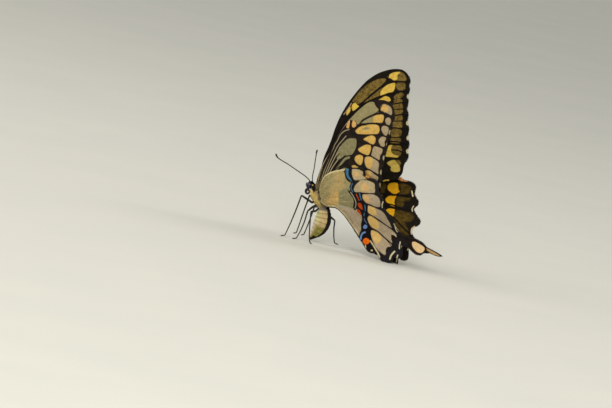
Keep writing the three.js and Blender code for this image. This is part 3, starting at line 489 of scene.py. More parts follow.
# ------------------------------------------------------------------ colours
# Layers painted one over another: field, dark and light colour (a screen colour or the name of one in
# the panel), softness and raggedness of the rim in mm
GROUND = {
    "underside": ("0c0806", "wing_ground"),
    "upper": ("080603", "1a140b"),
    "body": ("aa9264", "body_coat"),
}
PAINT = {
    "forewing_underside": [
        ("cell", "6a6444", "8c8562", .2, .2),
        ("olive", "7a714c", "9a9068", .22, .25),
        ("sub", "8c7a5e", "ac9c7a", .22, .25),
        ("warm", "b08c42", "fore_patches", .25, .25),
        ("glow", "b48a44", "d4b066", .55, .3),
        ("grey", "7c6c50", "988a68", .35, .2),
        ("orange", "b88c4c", "d6aa6a", .2, .15),
        ("streak", "80745a", "a49878", .12, .08),
        ("vein", "080504", "140e0b", .12, .05),
        ("fringe", "8c7e60", "ac9e7c", .12, .1),
    ],
    "hindwing_underside": [
        ("margin", "100e12", "201e24", .3, .2),
        ("base", "827950", "a29568", .35, .3),
        ("tan", "968050", "b29c68", .9, .4),
        ("fan", "a88448", "ccaa66", .9, .3),
        ("green", "6e6a48", "8a8460", .7, .3),
        ("pale", "968664", "b8a884", .22, .25),
        ("rose", "988870", "hind_patches", .22, .3),
        ("ray", "8c7c5c", "c0aa80", .2, .15),
        ("warm", "c4a058", "e8c47c", .55, .25),
        ("smudge", "b8945c", "d4b078", .8, .3),
        ("vein", "100c0a", "221a15", .12, .05),
        ("band", "050406", "100d12", .18, .1),
        ("rust", "982c00", "rust_spots", .16, .12),
        ("anal", "c85000", "f0740c", .16, .1),
        ("blue", "204660", "blue_crescents", .24, .12),
        ("violet", "5474ac", "7c9cd4", .16, .12),
        ("disc", "8a8674", "b0aa96", .1, .05),
        ("cream", "b0a078", "d8c8a0", .12, .06),
        ("tail", "d0ac78", "f0d0a0", .2, .1),
        ("fringe", "b8ac8c", "dccfae", .12, .1),
    ],
    "forewing_upper": [
        # painted light: olive glow of the underside's pale blocks seen through the wing
        ("pale", "34280a", "8a7238", .25, .35),
        ("warm", "b8963a", "dcbc54", .2, .2),
        ("straw", "a08a40", "d0b85a", .2, .2),
        ("streak", "8c7458", "b09474", .12, .08),
        ("vein", "060403", "100b08", .12, .05),
        ("gold", "b8983c", "dcc058", .16, .15),
        ("fringe", "b8ac80", "d8cca4", .12, .1),
    ],
    "hindwing_upper": [
        ("mist", "281e04", "604c16", .7, .6),
        ("warm", "c89000", "gold_band", .22, .2),
        ("rust", "b06018", "e09044", .2, .15),
        ("blue", "4a6470", "70888c", .2, .2),
        ("tail", "d8a868", "f4cc94", .2, .1),
        ("vein", "060403", "100b08", .12, .05),
        ("fringe", "c8b490", "e0d0ac", .12, .1),
    ],
    "body": [
        ("belly", "b4b478", "dcd8a0", .9, .4),
        ("olive", "6c6824", "949044", .9, .5),
        ("pink", "b8a088", "dcc8b4", .5, .3),
        ("yellow", "e0c468", "fce49c", .35, .25),
        ("grey", "988c84", "b8aca4", .35, .2),
        ("ringed", "a08c58", "bca470", .3, .15),
        ("black", "080605", "140f0c", .25, .2),
        ("tip", "1c0a06", "3c1812", .35, .2),
        ("spot", "dcb058", "f4d084", .15, .1),
    ],
}

# ------------------------------------------------------------------ stage
# The camera: degrees round from -Y and degrees tipped over; then in mm its distance, how far its line of
# sight passes left of and above the origin of the butterfly's own frame, its lens and its sensor
CAMERA = {
    "round": 28, "over": 13.6, "away": 2300, "left": 1.935, "above": 16.47, "lens": 300.65, "sensor": 36,
}
LAMPS = {                                # place in m, power in W and size in m
    "key": ((.45, -1.05, .85), 10.2, .8),
    "fill": ((-.95, -.45, .7), 6, .8),
    "rear": ((.9, .5, .8), 4, .6),
}
LAMP_COLOUR = (1, .95, .86)
LAMPS_AIM_AT = (0, 0, .04)
SKY_COLOUR, SKY_POWER = (1, .98, .93, 1), .62
FLOOR_SIZE = 12

# ------------------------------------------------------------------ curves and fields
CURVE_STEPS, OUTLINE_STEPS, LINE_STEPS = 40, 5, 4   # straight stretches from point to point of a curve
REACH = 2.5                              # how far round a marking its field is worked out
NOWHERE = -9.0                           # value of a field on the side of a wing that doesn't have it


def curve(points, steps, closed=False):
    """Smooth line that keeps its points (centripetal Catmull-Rom): each stretch is a cubic whose end
    slopes come from the neighbours, weighed by the square root of their distances."""
    p = np.asarray(points, float)
    p = np.vstack([p[-1], p, p[:2]]) if closed else np.vstack([2 * p[0] - p[1], p, 2 * p[-1] - p[-2]])
    d = np.sqrt(np.maximum(np.linalg.norm(np.diff(p, axis=0), axis=1), 1e-6))[:, None]
    a, b, c, e = p[:-3], p[1:-2], p[2:-1], p[3:]
    da, db, dc = d[:-2], d[1:-1], d[2:]
    ma = ((b - a) / da - (c - a) / (da + db) + (c - b) / db) * db
    mb = ((c - b) / db - (e - b) / (db + dc) + (e - c) / dc) * db
    u = (np.arange(steps) / steps)[None, :, None]
    a, b, ma, mb = b[:, None], c[:, None], ma[:, None], mb[:, None]
    ends = a * (2 * u**3 - 3 * u**2 + 1) + b * (3 * u**2 - 2 * u**3)
    line = (ends + ma * (u**3 - 2 * u**2 + u) + mb * (u**3 - u**2)).reshape(-1, p.shape[1])
    return line if closed else np.vstack([line, p[-2]])


def run_of(line):
    """How far along a line of straight stretches each of its points lies."""
    return np.concatenate([[0], np.cumsum(np.linalg.norm(np.diff(line, axis=0), axis=1))])


def even(line, count):
    """A line of short straight stretches, divided into `count` equal lengths."""
    run = run_of(line)
    at = np.linspace(0, run[-1], count + 1)
    return np.stack([np.interp(at, run, line[:, k]) for k in range(line.shape[1])], 1)


def spaced(points, count):
    """The smooth line through the points in `count` equal lengths."""
    return even(curve(points, CURVE_STEPS), count)


def distance(line, S, T, closed=False):
    """Shortest distance from every place (S, T) to a line of short straight stretches."""
    ends = np.vstack([line, line[:1]]) if closed else line
    best = np.full(S.shape, np.inf)
    for (x0, y0), (x1, y1) in zip(ends[:-1], ends[1:]):
        dx, dy = x1 - x0, y1 - y0
        k = np.clip(((S - x0) * dx + (T - y0) * dy) / (dx * dx + dy * dy + 1e-12), 0, 1)
        best = np.minimum(best, (S - x0 - k * dx) ** 2 + (T - y0 - k * dy) ** 2)
    return np.sqrt(best)


def inside(line, S, T):
    """True where a place lies inside a closed line: a ray from it crosses the line an odd number of
    times."""
    odd = np.zeros(S.shape, bool)
    for (x0, y0), (x1, y1) in zip(line, np.roll(line, -1, axis=0)):
        if y0 == y1:
            continue
        odd ^= ((y0 > T) != (y1 > T)) & (S < (x1 - x0) * (T - y0) / (y1 - y0) + x0)
    return odd


def marks(shapes, S, T):
    """Height field of several markings: distance in mm to the nearest rim, above zero inside.  A shape
    is a closed outline, or a line that starts with its width."""
    field = np.full(S.shape, -REACH)
    for shape in shapes:
        wide = 0 if isinstance(shape[0], tuple) else shape[0]
        line = curve(shape[1:], LINE_STEPS) if wide else curve(shape, OUTLINE_STEPS, closed=True)
        lo, hi = line.min(0) - REACH, line.max(0) + REACH
        near = (S > lo[0]) & (S < hi[0]) & (T > lo[1]) & (T < hi[1])
        s, t = S[near], T[near]
        d = distance(line, s, t, closed=not wide)
        level = wide / 2 - d if wide else np.where(inside(line, s, t), d, -d)
        field[near] = np.maximum(field[near], level)
    return field


def distance_to(lines, S, T):
    """Distance in mm to the nearest of several smooth lines, as far as the reach of a marking."""
    return REACH - np.maximum(marks([[2 * REACH] + line for line in lines], S, T), 0)


def at_rows(values, row):
    """Numbers or points given row by row, read between the rows too."""
    rows = np.arange(len(values))
    if values.ndim == 1:
        return np.interp(row, rows, values)
    return np.stack([np.interp(row, rows, values[:, k]) for k in range(values.shape[1])], 1)


def unit(v):
    """The arrows, each made one long."""
    return v / np.maximum(np.linalg.norm(v, axis=-1, keepdims=True), 1e-12)


# ------------------------------------------------------------------ meshes
def place(points):
    """Millimetres in the butterfly's own frame to metres in the model's frame."""
    low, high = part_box("eye_left")
    shift = (np.array(low) + np.array(high)) / 2 - np.array(EYE_AT) * MM
    return np.asarray(points) * MM + shift


def grid_faces(rows, cols, wrap=False):
    """Four-cornered faces of a grid of points, row by row, and each corner's (row, column)."""
    i = np.arange(rows - 1)[:, None]
    j = np.arange(cols if wrap else cols - 1)[None, :]
    k = (j + 1) % cols
    corners = np.broadcast_arrays(i * cols + j, i * cols + k, (i + 1) * cols + k, (i + 1) * cols + j)
    at = np.broadcast_arrays(i, j, i, j + 1, i + 1, j + 1, i + 1, j)
    return np.stack(corners, -1).reshape(-1, 4), np.stack(at, -1).reshape(-1, 4, 2)


def turned(points, faces, uvs):
    """Turns all faces over, with their UVs, if the body they close would have a volume below zero."""
    volume = 0.0
    for f in faces:
        p = points[f]
        volume += np.einsum("ij,ij->", p[:, 0], np.cross(p[:, 1], p[:, 2]))
        if f.shape[1] == 4:
            volume += np.einsum("ij,ij->", p[:, 0], np.cross(p[:, 2], p[:, 3]))
    if volume > 0:
        return faces, uvs
    return [f[:, ::-1] for f in faces], [u[:, ::-1] for u in uvs]


def make(name, points, faces, uvs, materials, fields=None, slots=None, nodes=(), kind=None):
    """Closed mesh object from whole arrays: points (n, 3) in mm, faces a list of (m, 3) or (m, 4) index
    arrays, uvs one pair per corner, fields one number per point each, slots one material per face.
    Nothing reaches below the floor."""
    points = np.asarray(points, float).copy()
    faces, uvs = turned(points, faces, uvs)
    points[:, 2] = np.maximum(points[:, 2], 0)
    me = bpy.data.meshes.new(name)
    me.vertices.add(len(points))
    me.vertices.foreach_set("co", place(points).astype(np.float32).ravel())
    corner = np.concatenate([f.ravel() for f in faces])
    count = np.concatenate([np.full(len(f), f.shape[1]) for f in faces])
    me.loops.add(len(corner))
    me.loops.foreach_set("vertex_index", corner.astype(np.int32))
    me.polygons.add(len(count))
    me.polygons.foreach_set("loop_start", (np.cumsum(count) - count).astype(np.int32))
    if slots is not None:
        me.polygons.foreach_set("material_index", np.asarray(slots, np.int32))
    me.polygons.foreach_set("use_smooth", np.ones(len(count), bool))
    me.update(calc_edges=True)
    for key, values in (fields or {}).items():
        layer = me.attributes.new(key, "FLOAT", "POINT")
        layer.data.foreach_set("value", np.asarray(values, np.float32).ravel())
    uv = np.concatenate([u.reshape(-1, 2) for u in uvs])
    me.uv_layers.new(name="OFBake").data.foreach_set("uv", uv.astype(np.float32).ravel())
    for m in materials:
        me.materials.append(m)
    me.validate()
    obj = bpy.data.objects.new(name, me)
    bpy.context.scene.collection.objects.link(obj)
    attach(obj, "root")
    if nodes:
        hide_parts(*nodes)


def join(parts):
    """Several (points, faces, uvs) in one."""
    points, faces, uvs, start = [], [], [], 0
    for p, f, u in parts:
        f, u = turned(p, f, u)
        points.append(p)
        faces += [g + start for g in f]
        uvs += u
        start += len(p)
    return np.concatenate(points), faces, uvs


def tube(path, radius, sides):
    """Rings round a path, each square to it: the ring's two directions are carried along the path, so
    that it doesn't twist."""
    tangent = unit(np.gradient(path, axis=0))
    side = np.zeros_like(path)
    start = np.cross([0, 1, 0], tangent[0])
    side[0] = unit(start if np.linalg.norm(start) > .3 else np.cross([1, 0, 0], tangent[0]))
    for k in range(1, len(path)):
        side[k] = unit(side[k - 1] - tangent[k] * (side[k - 1] @ tangent[k]))
    up = np.cross(tangent, side)
    q = np.linspace(0, 2 * np.pi, sides, endpoint=False)[None, :, None]
    return path[:, None] + (side[:, None] * np.cos(q) + up[:, None] * np.sin(q)) * radius[:, None, None]


def closed_tube(rings, box=(.01, .01, .98, .98), cap=.002):
    """A stack of rings closed to a point at each end, with its wall unrolled into the UV box (left,
    bottom, width, height) and the faces at its ends as low as `cap`."""
    rows, sides = rings.shape[:2]
    points = np.concatenate([rings.reshape(-1, 3), rings[0].mean(0)[None], rings[-1].mean(0)[None]])
    wall, at = grid_faces(rows, sides, wrap=True)
    u, v, w, h = box
    wall_uv = np.stack([u + w * at[..., 1] / sides, v + h * at[..., 0] / (rows - 1)], -1)
    j = np.arange(sides)
    k = (j + 1) % sides
    base = (rows - 1) * sides
    first = np.stack([np.full(sides, rows * sides), k, j], 1)
    last = np.stack([np.full(sides, rows * sides + 1), base + j, base + k], 1)

    def corner(share, height):
        return np.stack([u + w * share / sides, np.full(sides, height)], 1)
    low = np.stack([corner(j + .5, v), corner(j + 1, v + cap), corner(j, v + cap)], 1)
    high = np.stack([corner(j + .5, v + h), corner(j, v + h - cap), corner(j + 1, v + h - cap)], 1)
    return points, [wall, first, last], [wall_uv, low, high]


def unrolled(shape, box):
    """Flat map of a tube's skin inside box (left, bottom, width, height): round it to the right, along
    it upwards."""
    i, j = np.meshgrid(np.linspace(0, 1, shape[0]), np.linspace(0, 1, shape[1]), indexing="ij")
    return np.stack([box[0] + box[2] * j, box[1] + box[3] * i], -1)


# ------------------------------------------------------------------ coat
def scatter(grid, weight, count, seed):
    """Random places on a grid of points, evenly by area times weight; returns a function that reads any
    grid of values at those places (bilinear), and the random numbers to go on with."""
    a, b, c, d = grid[:-1, :-1], grid[1:, :-1], grid[1:, 1:], grid[:-1, 1:]
    area = np.linalg.norm(np.cross(c - a, d - b), axis=-1) * weight[:-1, :-1]
    rng = np.random.default_rng(seed)
    share = np.cumsum(area.ravel())
    cell = np.searchsorted(share, (np.arange(count) + rng.random(count)) / count * share[-1])
    i, j = np.unravel_index(np.minimum(cell, area.size - 1), area.shape)
    u, v = rng.random((2, count))

    def read(g):
        shape = (-1,) + (1,) * (g.ndim - 2)
        p, r = u.reshape(shape), v.reshape(shape)
        near = g[i, j] * (1 - p) + g[i + 1, j] * p
        far = g[i, j + 1] * (1 - p) + g[i + 1, j + 1] * p
        return near * (1 - r) + far * r
    return read, rng


def tufts(root, normal, lie, length, girth, rise, rng, root_uv):
    """Tufts of hair or scales, sixteen triangles each: three three-sided rings and a tip along a line
    that leaves the skin at the angle `rise` and bends back towards the lie as its square.  A tuft's
    patch on the map lies round the place of its root."""
    n = len(root)
    lie = unit(lie - normal * np.sum(lie * normal, -1, keepdims=True))
    side = np.cross(normal, lie)
    swing = rng.normal(0, .22, (n, 1))
    lie = unit(lie + side * swing)
    side = np.cross(normal, lie)
    f = np.array([0, .42, .78, 1])
    length = np.broadcast_to(length, n)[:, None] * rng.uniform(.7, 1.25, (n, 1))
    rise = np.broadcast_to(rise, n)[:, None] * rng.uniform(.6, 1.4, (n, 1))
    fore = (length * f * np.cos(rise))[..., None]
    high = (length * np.sin(rise) * (f - .4 * f**2) - SINK)[..., None]
    bend = (length * rng.normal(0, .12, (n, 1)) * f**2)[..., None]
    centre = root[:, None] + lie[:, None] * fore + normal[:, None] * high + side[:, None] * bend
    q = np.radians([90, 210, 330])
    wide = np.broadcast_to(girth, n)[:, None, None] * np.array([.8, 1, .62])[None, :, None]
    ring = centre[:, :3, None] + side[:, None, None] * (wide * np.cos(q))[..., None]
    ring = ring + normal[:, None, None] * (wide * np.sin(q) * .7)[..., None]
    points = np.concatenate([ring.reshape(n, 9, 3), centre[:, 3:]], 1)
    quad, _ = grid_faces(3, 3, wrap=True)
    tri = np.array([[6, 7, 9], [7, 8, 9], [8, 6, 9], [2, 1, 0]])
    base = (np.arange(n) * TUFT_POINTS)[:, None, None]
    patch = [np.stack([np.cos(q) * PATCH_HALF, np.full(3, y)], 1) for y in PATCH_ROWS] + [[[0, PATCH_TIP]]]
    uv = root_uv[:, None] + np.concatenate(patch)[None]
    faces = [(quad[None] + base).reshape(-1, 4), (tri[None] + base).reshape(-1, 3)]
    uvs = [uv[:, quad].reshape(-1, 4, 2), uv[:, tri].reshape(-1, 3, 2)]
    # How far along its tuft each point lies, 0 at the root: the materials darken the roots by it as painted
    # shade
    hair = np.tile(np.repeat([0, .45, .8, 1], (3, 3, 3, 1)), n)
    return points.reshape(-1, 3), faces, uvs, hair


def coat(name, sets, material, kind):
    """One coat piece from several sets of tufts.  A set is all that tufts() takes and, last, the fields
    of its roots."""
    merged, fields = [], {}
    for *tuft, at_root in sets:
        points, faces, uvs, hair = tufts(*tuft)
        merged.append((points, faces, uvs))
        fields.setdefault("hair", []).append(hair)
        for key, values in at_root.items():
            fields.setdefault(key, []).append(np.repeat(values, TUFT_POINTS))
    make(name, *join(merged), [material], {k: np.concatenate(v) for k, v in fields.items()}, kind=kind)


def tube_hair(rings, path, weight, sort, seed, box):
    """A set of tufts on a tube, lying along its path, mapped inside box."""
    grid = np.concatenate([rings, rings[:, :1]], 1)
    count, length, girth, rise = sort
    read, rng = scatter(grid, weight * np.ones(grid.shape[:2]), count, seed)
    along = np.broadcast_to(unit(np.gradient(path, axis=0))[:, None], grid.shape)
    normal = unit(read(unit(grid - path[:, None])))
    return read(grid), normal, read(along), length, girth, rise, rng, read(unrolled(grid.shape, box)), {}


# ------------------------------------------------------------------ materials
def rgb(code):
    """Linear colour from a screen colour such as "c9a560"."""
    c = np.array([int(code[k:k + 2], 16) for k in (0, 2, 4)]) / 255
    c = np.where(c <= .04045, c / 12.92, ((c + .055) / 1.055) ** 2.4)
    return (float(c[0]), float(c[1]), float(c[2]), 1.0)


class ButterflySizes(bpy.types.PropertyGroup):
    wing_thickness: bpy.props.FloatProperty(
        name="Wing thickness", description="Thickness of the membrane between the veins",
        default=.28 * MM, min=.05 * MM, max=.5 * MM, precision=5, subtype="DISTANCE")
    vein_rib: bpy.props.FloatProperty(
        name="Vein rib", description="How far a vein stands out of the membrane on each side",
        default=.09 * MM, min=0, max=.2 * MM, precision=5, subtype="DISTANCE")
    pleat: bpy.props.FloatProperty(
        name="Pleat", description="How far the membrane bulges between the veins",
        default=.14 * MM, min=0, max=.4 * MM, precision=5, subtype="DISTANCE")
    wing_fineness: bpy.props.IntProperty(
        name="Wing fineness", description="Rows of the visible wing for each row of the solid",
        default=7, min=3, max=10)
    hair_length: bpy.props.FloatProperty(
        name="Hair length", description="Length of the hair on the thorax",
        default=1.1 * MM, min=.2 * MM, max=2 * MM, precision=5, subtype="DISTANCE")


class ButterflyColours(bpy.types.PropertyGroup):
    wing_ground: bpy.props.FloatVectorProperty(
        name="Wing ground", description="Lighter tone of the dark ground under the wings",
        default=rgb("241811"), size=4, min=0, max=1, subtype="COLOR")
    fore_patches: bpy.props.FloatVectorProperty(
        name="Forewing patches", description="Lighter tone of the warm patches under the forewings",
        default=rgb("d2ae60"), size=4, min=0, max=1, subtype="COLOR")
    hind_patches: bpy.props.FloatVectorProperty(
        name="Hindwing patches", description="Lighter tone of the pale patches under the hindwings",
        default=rgb("b8a68c"), size=4, min=0, max=1, subtype="COLOR")
    gold_band: bpy.props.FloatVectorProperty(
        name="Gold band", description="Lighter tone of the yellow patches on top of the hindwings",
        default=rgb("ecb420"), size=4, min=0, max=1, subtype="COLOR")
    blue_crescents: bpy.props.FloatVectorProperty(
        name="Blue crescents", description="Lighter tone of the blue marks under the hindwings",
        default=rgb("4880a6"), size=4, min=0, max=1, subtype="COLOR")
    rust_spots: bpy.props.FloatVectorProperty(
        name="Rust spots", description="Lighter tone of the red-brown marks under the hindwings",
        default=rgb("c44c08"), size=4, min=0, max=1, subtype="COLOR")
    body_coat: bpy.props.FloatVectorProperty(
        name="Body coat", description="Lighter tone of the body's hair and scales",
        default=rgb("cebc8c"), size=4, min=0, max=1, subtype="COLOR")


def paint(value):
    """A colour of the panel by its name, or else a screen colour."""
    if value in ButterflyColours.__annotations__:
        return tuple(getattr(bpy.context.scene.butterfly_colours, value))
    return rgb(value)


class Nodes:
    """Short way to write a material's node tree."""

    def __init__(self, name, rough, sheen=0.0, spec=0.35):
        self.mat = bpy.data.materials.new(name)
        self.mat.use_nodes = True
        self.tree = self.mat.node_tree
        self.bsdf = self.tree.nodes["Principled BSDF"]
        self.bsdf.inputs["Roughness"].default_value = rough
        self.bsdf.inputs["Specular IOR Level"].default_value = spec
        self.bsdf.inputs["Sheen Weight"].default_value = sheen
        self.object = self.add("TexCoord").outputs["Object"]

    def add(self, kind, **links):
        """A new node with the given outputs linked into its inputs."""
        n = self.tree.nodes.new("ShaderNode" + kind)
        for key, output in links.items():
            self.link(output, n.inputs[key])
        return n

    def link(self, a, b):
        self.tree.links.new(a, b)

    def math(self, op, a, b):
        n = self.add("Math")
        n.operation = op
        for socket, v in zip(n.inputs, (a, b)):
            if isinstance(v, (int, float)):
                socket.default_value = v
            else:
                self.link(v, socket)
        return n.outputs[0]

    def blend(self, a, b, share):
        """The share of a and the rest of b."""
        return self.math("ADD", self.math("MULTIPLY", a, share), self.math("MULTIPLY", b, 1 - share))

    def field(self, name):
        n = self.add("Attribute")
        n.attribute_name = name
        return n.outputs["Fac"]

    def noise(self, size, detail=2.0, rough=0.5):
        """Noise between 0 and 1 whose lumps are about `size` mm across."""
        n = self.add("TexNoise", Vector=self.object)
        n.inputs["Scale"].default_value = 1 / (size * MM)
        n.inputs["Detail"].default_value = detail
        n.inputs["Roughness"].default_value = rough
        return n.outputs["Fac"]

    def cells(self, size):
        """Distance to the nearest of many cell middles about `size` mm apart, 0 to about 1."""
        n = self.add("TexVoronoi", Vector=self.object)
        n.inputs["Scale"].default_value = 1 / (size * MM)
        return n.outputs["Distance"]

    def ramp(self, value, low, high):
        """Straight rise from 0 at low to 1 at high, smoothed at both ends."""
        n = self.add("MapRange", Value=value)
        n.interpolation_type = "SMOOTHSTEP"
        n.inputs["From Min"].default_value = low
        n.inputs["From Max"].default_value = high
        return n.outputs["Result"]

    def mix(self, factor, a, b):
        n = self.add("Mix")
        n.data_type = "RGBA"
        self.link(factor, n.inputs["Factor"])
        for socket, v in ((n.inputs[6], a), (n.inputs[7], b)):
            if isinstance(v, tuple):
                socket.default_value = v
            else:
                self.link(v, socket)
        return n.outputs[2]

    def shade(self, factor, colour, low):
        """The colour darkened to the share `low` where the factor is 0; used to paint shade at the roots of
        tufts.
        """
        value = self.math("ADD", self.math("MULTIPLY", factor, 1 - low), low)
        return self.add("HueSaturation", Color=colour, Value=value).outputs["Color"]

    def bump(self, height, strength, depth):
        n = self.add("Bump", Height=height)
        n.inputs["Strength"].default_value = strength
        n.inputs["Distance"].default_value = depth * MM
        self.link(n.outputs["Normal"], self.bsdf.inputs["Normal"])

    def colour(self, value):
        self.link(value, self.bsdf.inputs["Base Color"])
        return self.mat


def layered(n, ground, layers):
    """Paints layer over layer.  A layer's rim lies where its field crosses zero, made ragged by fine
    noise; grain and mottle change each layer between its dark and its light colour."""
    grain = n.noise(.16, 2.0, .6)
    mottle = n.noise(1.4, 3.0, .6)
    rag = n.math("SUBTRACT", n.noise(.45, 3.0, .65), .5)
    tone = n.ramp(n.blend(grain, mottle, .6), .36, .64)
    colour = n.mix(tone, paint(ground[0]), paint(ground[1]))
    for name, dark, light, soft, ragged in layers:
        edge = n.math("ADD", n.field(name), n.math("MULTIPLY", rag, 2 * ragged))
        shade = n.mix(tone, paint(dark), paint(light))
        colour = n.mix(n.ramp(edge, -soft, soft), colour, shade)
    return colour, grain, mottle


def wing_material(name):
    """Matt scales of one side of a wing."""
    n = Nodes(name, .8, .015, .1)
    colour, grain, mottle = layered(n, GROUND[name.split("_")[1]], PAINT[name])
    n.bump(n.blend(grain, mottle, .7), .3, .08)
    return n.colour(colour)


def fringe_material():
    """Dark, pale and amber scales at the wings' edges, with painted shade darkening their roots."""
    n = Nodes("fringe_scales", .8, .1, .2)
    tone = n.noise(.3)
    dark = n.mix(tone, rgb("120d0a"), rgb("2a211b"))
    pale = n.mix(tone, rgb("c4b48c"), rgb("e0d2ae"))
    amber = n.mix(tone, rgb("d08828"), rgb("f4b458"))
    colour = n.mix(n.ramp(n.field("fringe"), -.1, .1), dark, pale)
    colour = n.mix(n.ramp(n.field("orange"), -.1, .1), colour, amber)
    # Painted shade: each scale darkened towards its root
    return n.colour(n.shade(n.field("hair"), colour, .7))


def shell_material(name, dark, light, rough):
    """Bare horny skin with a fine grain."""
    n = Nodes(name, rough, 0.0, .4)
    grain = n.noise(.3, 3.0, .6)
    n.bump(grain, .4, .03)
    return n.colour(n.mix(n.ramp(grain, .3, .7), rgb(dark), rgb(light)))


def body_material(name, haired):
    """The body's markings, on its skin or on the hair, whose roots get painted shade."""
    n = Nodes(name, .8, .05, .12)
    colour, grain, _ = layered(n, GROUND["body"], PAINT["body"])
    if haired:
        # Painted shade: each hair darkened towards its root, where the coat shades it
        colour = n.shade(n.field("hair"), colour, .78)
    n.bump(grain, .4, .08)
    return n.colour(colour)


def fur_material(name, dark, light):
    """Hair of one colour, mottled, with painted shade darkening the roots."""
    n = Nodes(name, .8, .12, .2)
    colour = n.mix(n.ramp(n.noise(.5), .3, .7), rgb(dark), rgb(light))
    # Painted shade: each hair darkened towards its root
    return n.colour(n.shade(n.field("hair"), colour, .6))


def eye_material():
    """Glossy facets over cloudy dark blue."""
    n = Nodes("eye_facets", .22, 0.0, .5)
    n.bump(n.cells(.055), .5, .012)
    return n.colour(n.mix(n.ramp(n.noise(.9), .35, .65), rgb("080a1c"), rgb("1c2248")))


# ------------------------------------------------------------------ wings
Sheet = namedtuple("Sheet", "S T middle normal under upper vein flat")


def forewing_rails(k):
    """Front edge, middle line and hind edge of the forewing, k times as fine as the solid's."""
    margin = [FW_INNER[-1]]
    for a, b in zip(FW_TIPS, FW_TIPS[1:] + [None]):
        margin.append(a)
        if b:
            margin.append(((a[0] + b[0]) / 2 - FW_SCALLOP, (a[1] + b[1]) / 2))
    margin.append(FW_END)
    front = spaced(FW_COSTA, FW_ROWS * k)
    inner = spaced(FW_INNER, (FW_ROWS - 2 * (len(margin) - 1)) * k)
    back = np.vstack([inner[:-1], curve(margin, 2 * k)])
    return front, (front + back) / 2, back


def hindwing_rails(k):
    """Front edge, middle line and hind edge of the hindwing in three stretches: root, lobed margin, tail."""
    rise, lobed, tail = (rows * k for rows in HW_ROWS)

    def edge(root, lobes, tip):
        return np.vstack([
            spaced(root, rise),
            curve([root[-1]] + lobes, lobed // len(lobes))[1:],
            spaced([lobes[-1]] + tip, tail)[1:],
        ])
    ridge = [spaced(HW_SPINE[:4], rise), spaced(HW_SPINE[3:6], lobed)[1:], spaced(HW_SPINE[5:], tail)[1:]]
    front, back = edge(HW_FRONT, HW_LOBES, HW_TAIL_TOP), edge(HW_INNER, HW_HIND, HW_TAIL_LOW)
    return front, np.vstack(ridge), back


def forewing_place(side, s, t):
    """The wing plane is flared outwards behind and leaned outwards above.  Its hind corner bends in by
    the square of the way to the margin and of the way down; its outer margin curls out above that."""
    sign, x, y, z, sweep, curl, hollow = FW_POSE[side]
    f, lean, w = np.radians([FW_FLARE, FW_LEAN, sweep])
    rear = np.array([np.cos(f), np.sin(f), 0])
    out = np.array([-np.sin(f) * np.cos(lean), np.cos(f) * np.cos(lean), -np.sin(lean)])
    up = np.cross(rear, out)
    es = rear * np.cos(w) + up * np.sin(w)
    et = up * np.cos(w) - rear * np.sin(w)
    far = np.maximum(s / FW_WIDE, 0) ** 2
    high = np.clip((t - FW_CURL[0]) / (FW_CURL[1] - FW_CURL[0]), 0, 1)
    away = curl * far * high**2 * (3 - 2 * high) - hollow * far * np.maximum(1 - t / FW_HOLLOW_TO, 0) ** 2
    p = np.array([x, y, z]) + es * s[..., None] + et * t[..., None] + out * away[..., None]
    return p * np.array([1, sign, 1])


def hindwing_flare(x, z):
    """Half distance between the hindwings: parallel to the forewings above, close to the abdomen below,
    with a smooth (logistic) step between the two."""
    k = np.clip((x - FLARE_FROM[0]) / FLARE_FROM[1], -.3, 1.6)
    centre = FLARE_CENTRE[0] + (FLARE_CENTRE[1] - FLARE_CENTRE[0]) * k
    width = FLARE_WIDTH[0] + (FLARE_WIDTH[1] - FLARE_WIDTH[0]) * np.clip(k, 0, 1)
    least, more, fade = FLARE_LOW
    low = least + more * np.exp(-(np.maximum(x, 0) / fade) ** 2)
    start, to_rear, x0, upwards, z0 = FLARE_HIGH
    high = np.maximum(start + to_rear * (x - x0) + upwards * (z - z0), low)
    return low + (high - low) / (1 + np.exp(-(z - centre) / width))


def hindwing_place(side, x, z):
    """Side elevation to space: out by the flare, with the set of this wing's rear end, lobe and tail."""
    sign, lift, lobe_by, longer, drop, turn_by = HW_SET[side]
    rear = np.clip((x - HW_REAR[0]) / HW_REAR[1], 0, 1)
    tail = np.maximum(x - HW_TAIL[0], 0) / HW_TAIL[1]
    turn = np.radians(turn_by) * np.minimum(tail * 2, 1)
    middle = HW_TAIL_MIDDLE[0] - HW_TAIL_MIDDLE[1] * tail
    across = z - middle
    lobe_from, lobe_long, lobe_z, lobe_half = HW_LOBE
    lobe = np.clip((x - lobe_from) / lobe_long, 0, 1) * np.exp(-((z - lobe_z) / lobe_half) ** 2)
    return np.stack([
        x + longer * tail + lobe_by * lobe,
        sign * (hindwing_flare(x, z) + across * np.sin(turn)),
        middle + across * np.cos(turn) + lift * rear - drop * tail,
    ], -1)


def wing_fields(under_marks, upper_marks, veins, S, T):
    """Fields of both sides' markings, and the distance to the nearest vein, dark on the upper side."""
    vein = distance_to(veins, S, T)
    under = {key: marks(shapes, S, T) for key, shapes in under_marks.items()}
    upper = {key: marks(shapes, S, T) for key, shapes in upper_marks.items()}
    upper["vein"] = np.maximum(upper["vein"], .3 - vein)
    return under, upper, vein


def forewing_fields(S, T):
    """Fields of the forewing's underside and upper side, and the distance to the nearest vein.  The
    pale notches of the margin are small ovals; their field is about the distance to the rim."""
    under, upper, vein = wing_fields(FW_UNDER, FW_UPPER, FW_VEINS, S, T)
    notch = np.min([np.hypot((S - a) / .75, (T - b) / 1.05) for a, b in FW_NOTCHES], axis=0)
    under["vein"] = np.maximum(under["vein"], .24 - vein)
    under["fringe"] = upper["fringe"] = .45 * (1 - np.minimum(notch, 9))
    under["glow"] += .3
    return under, upper, vein


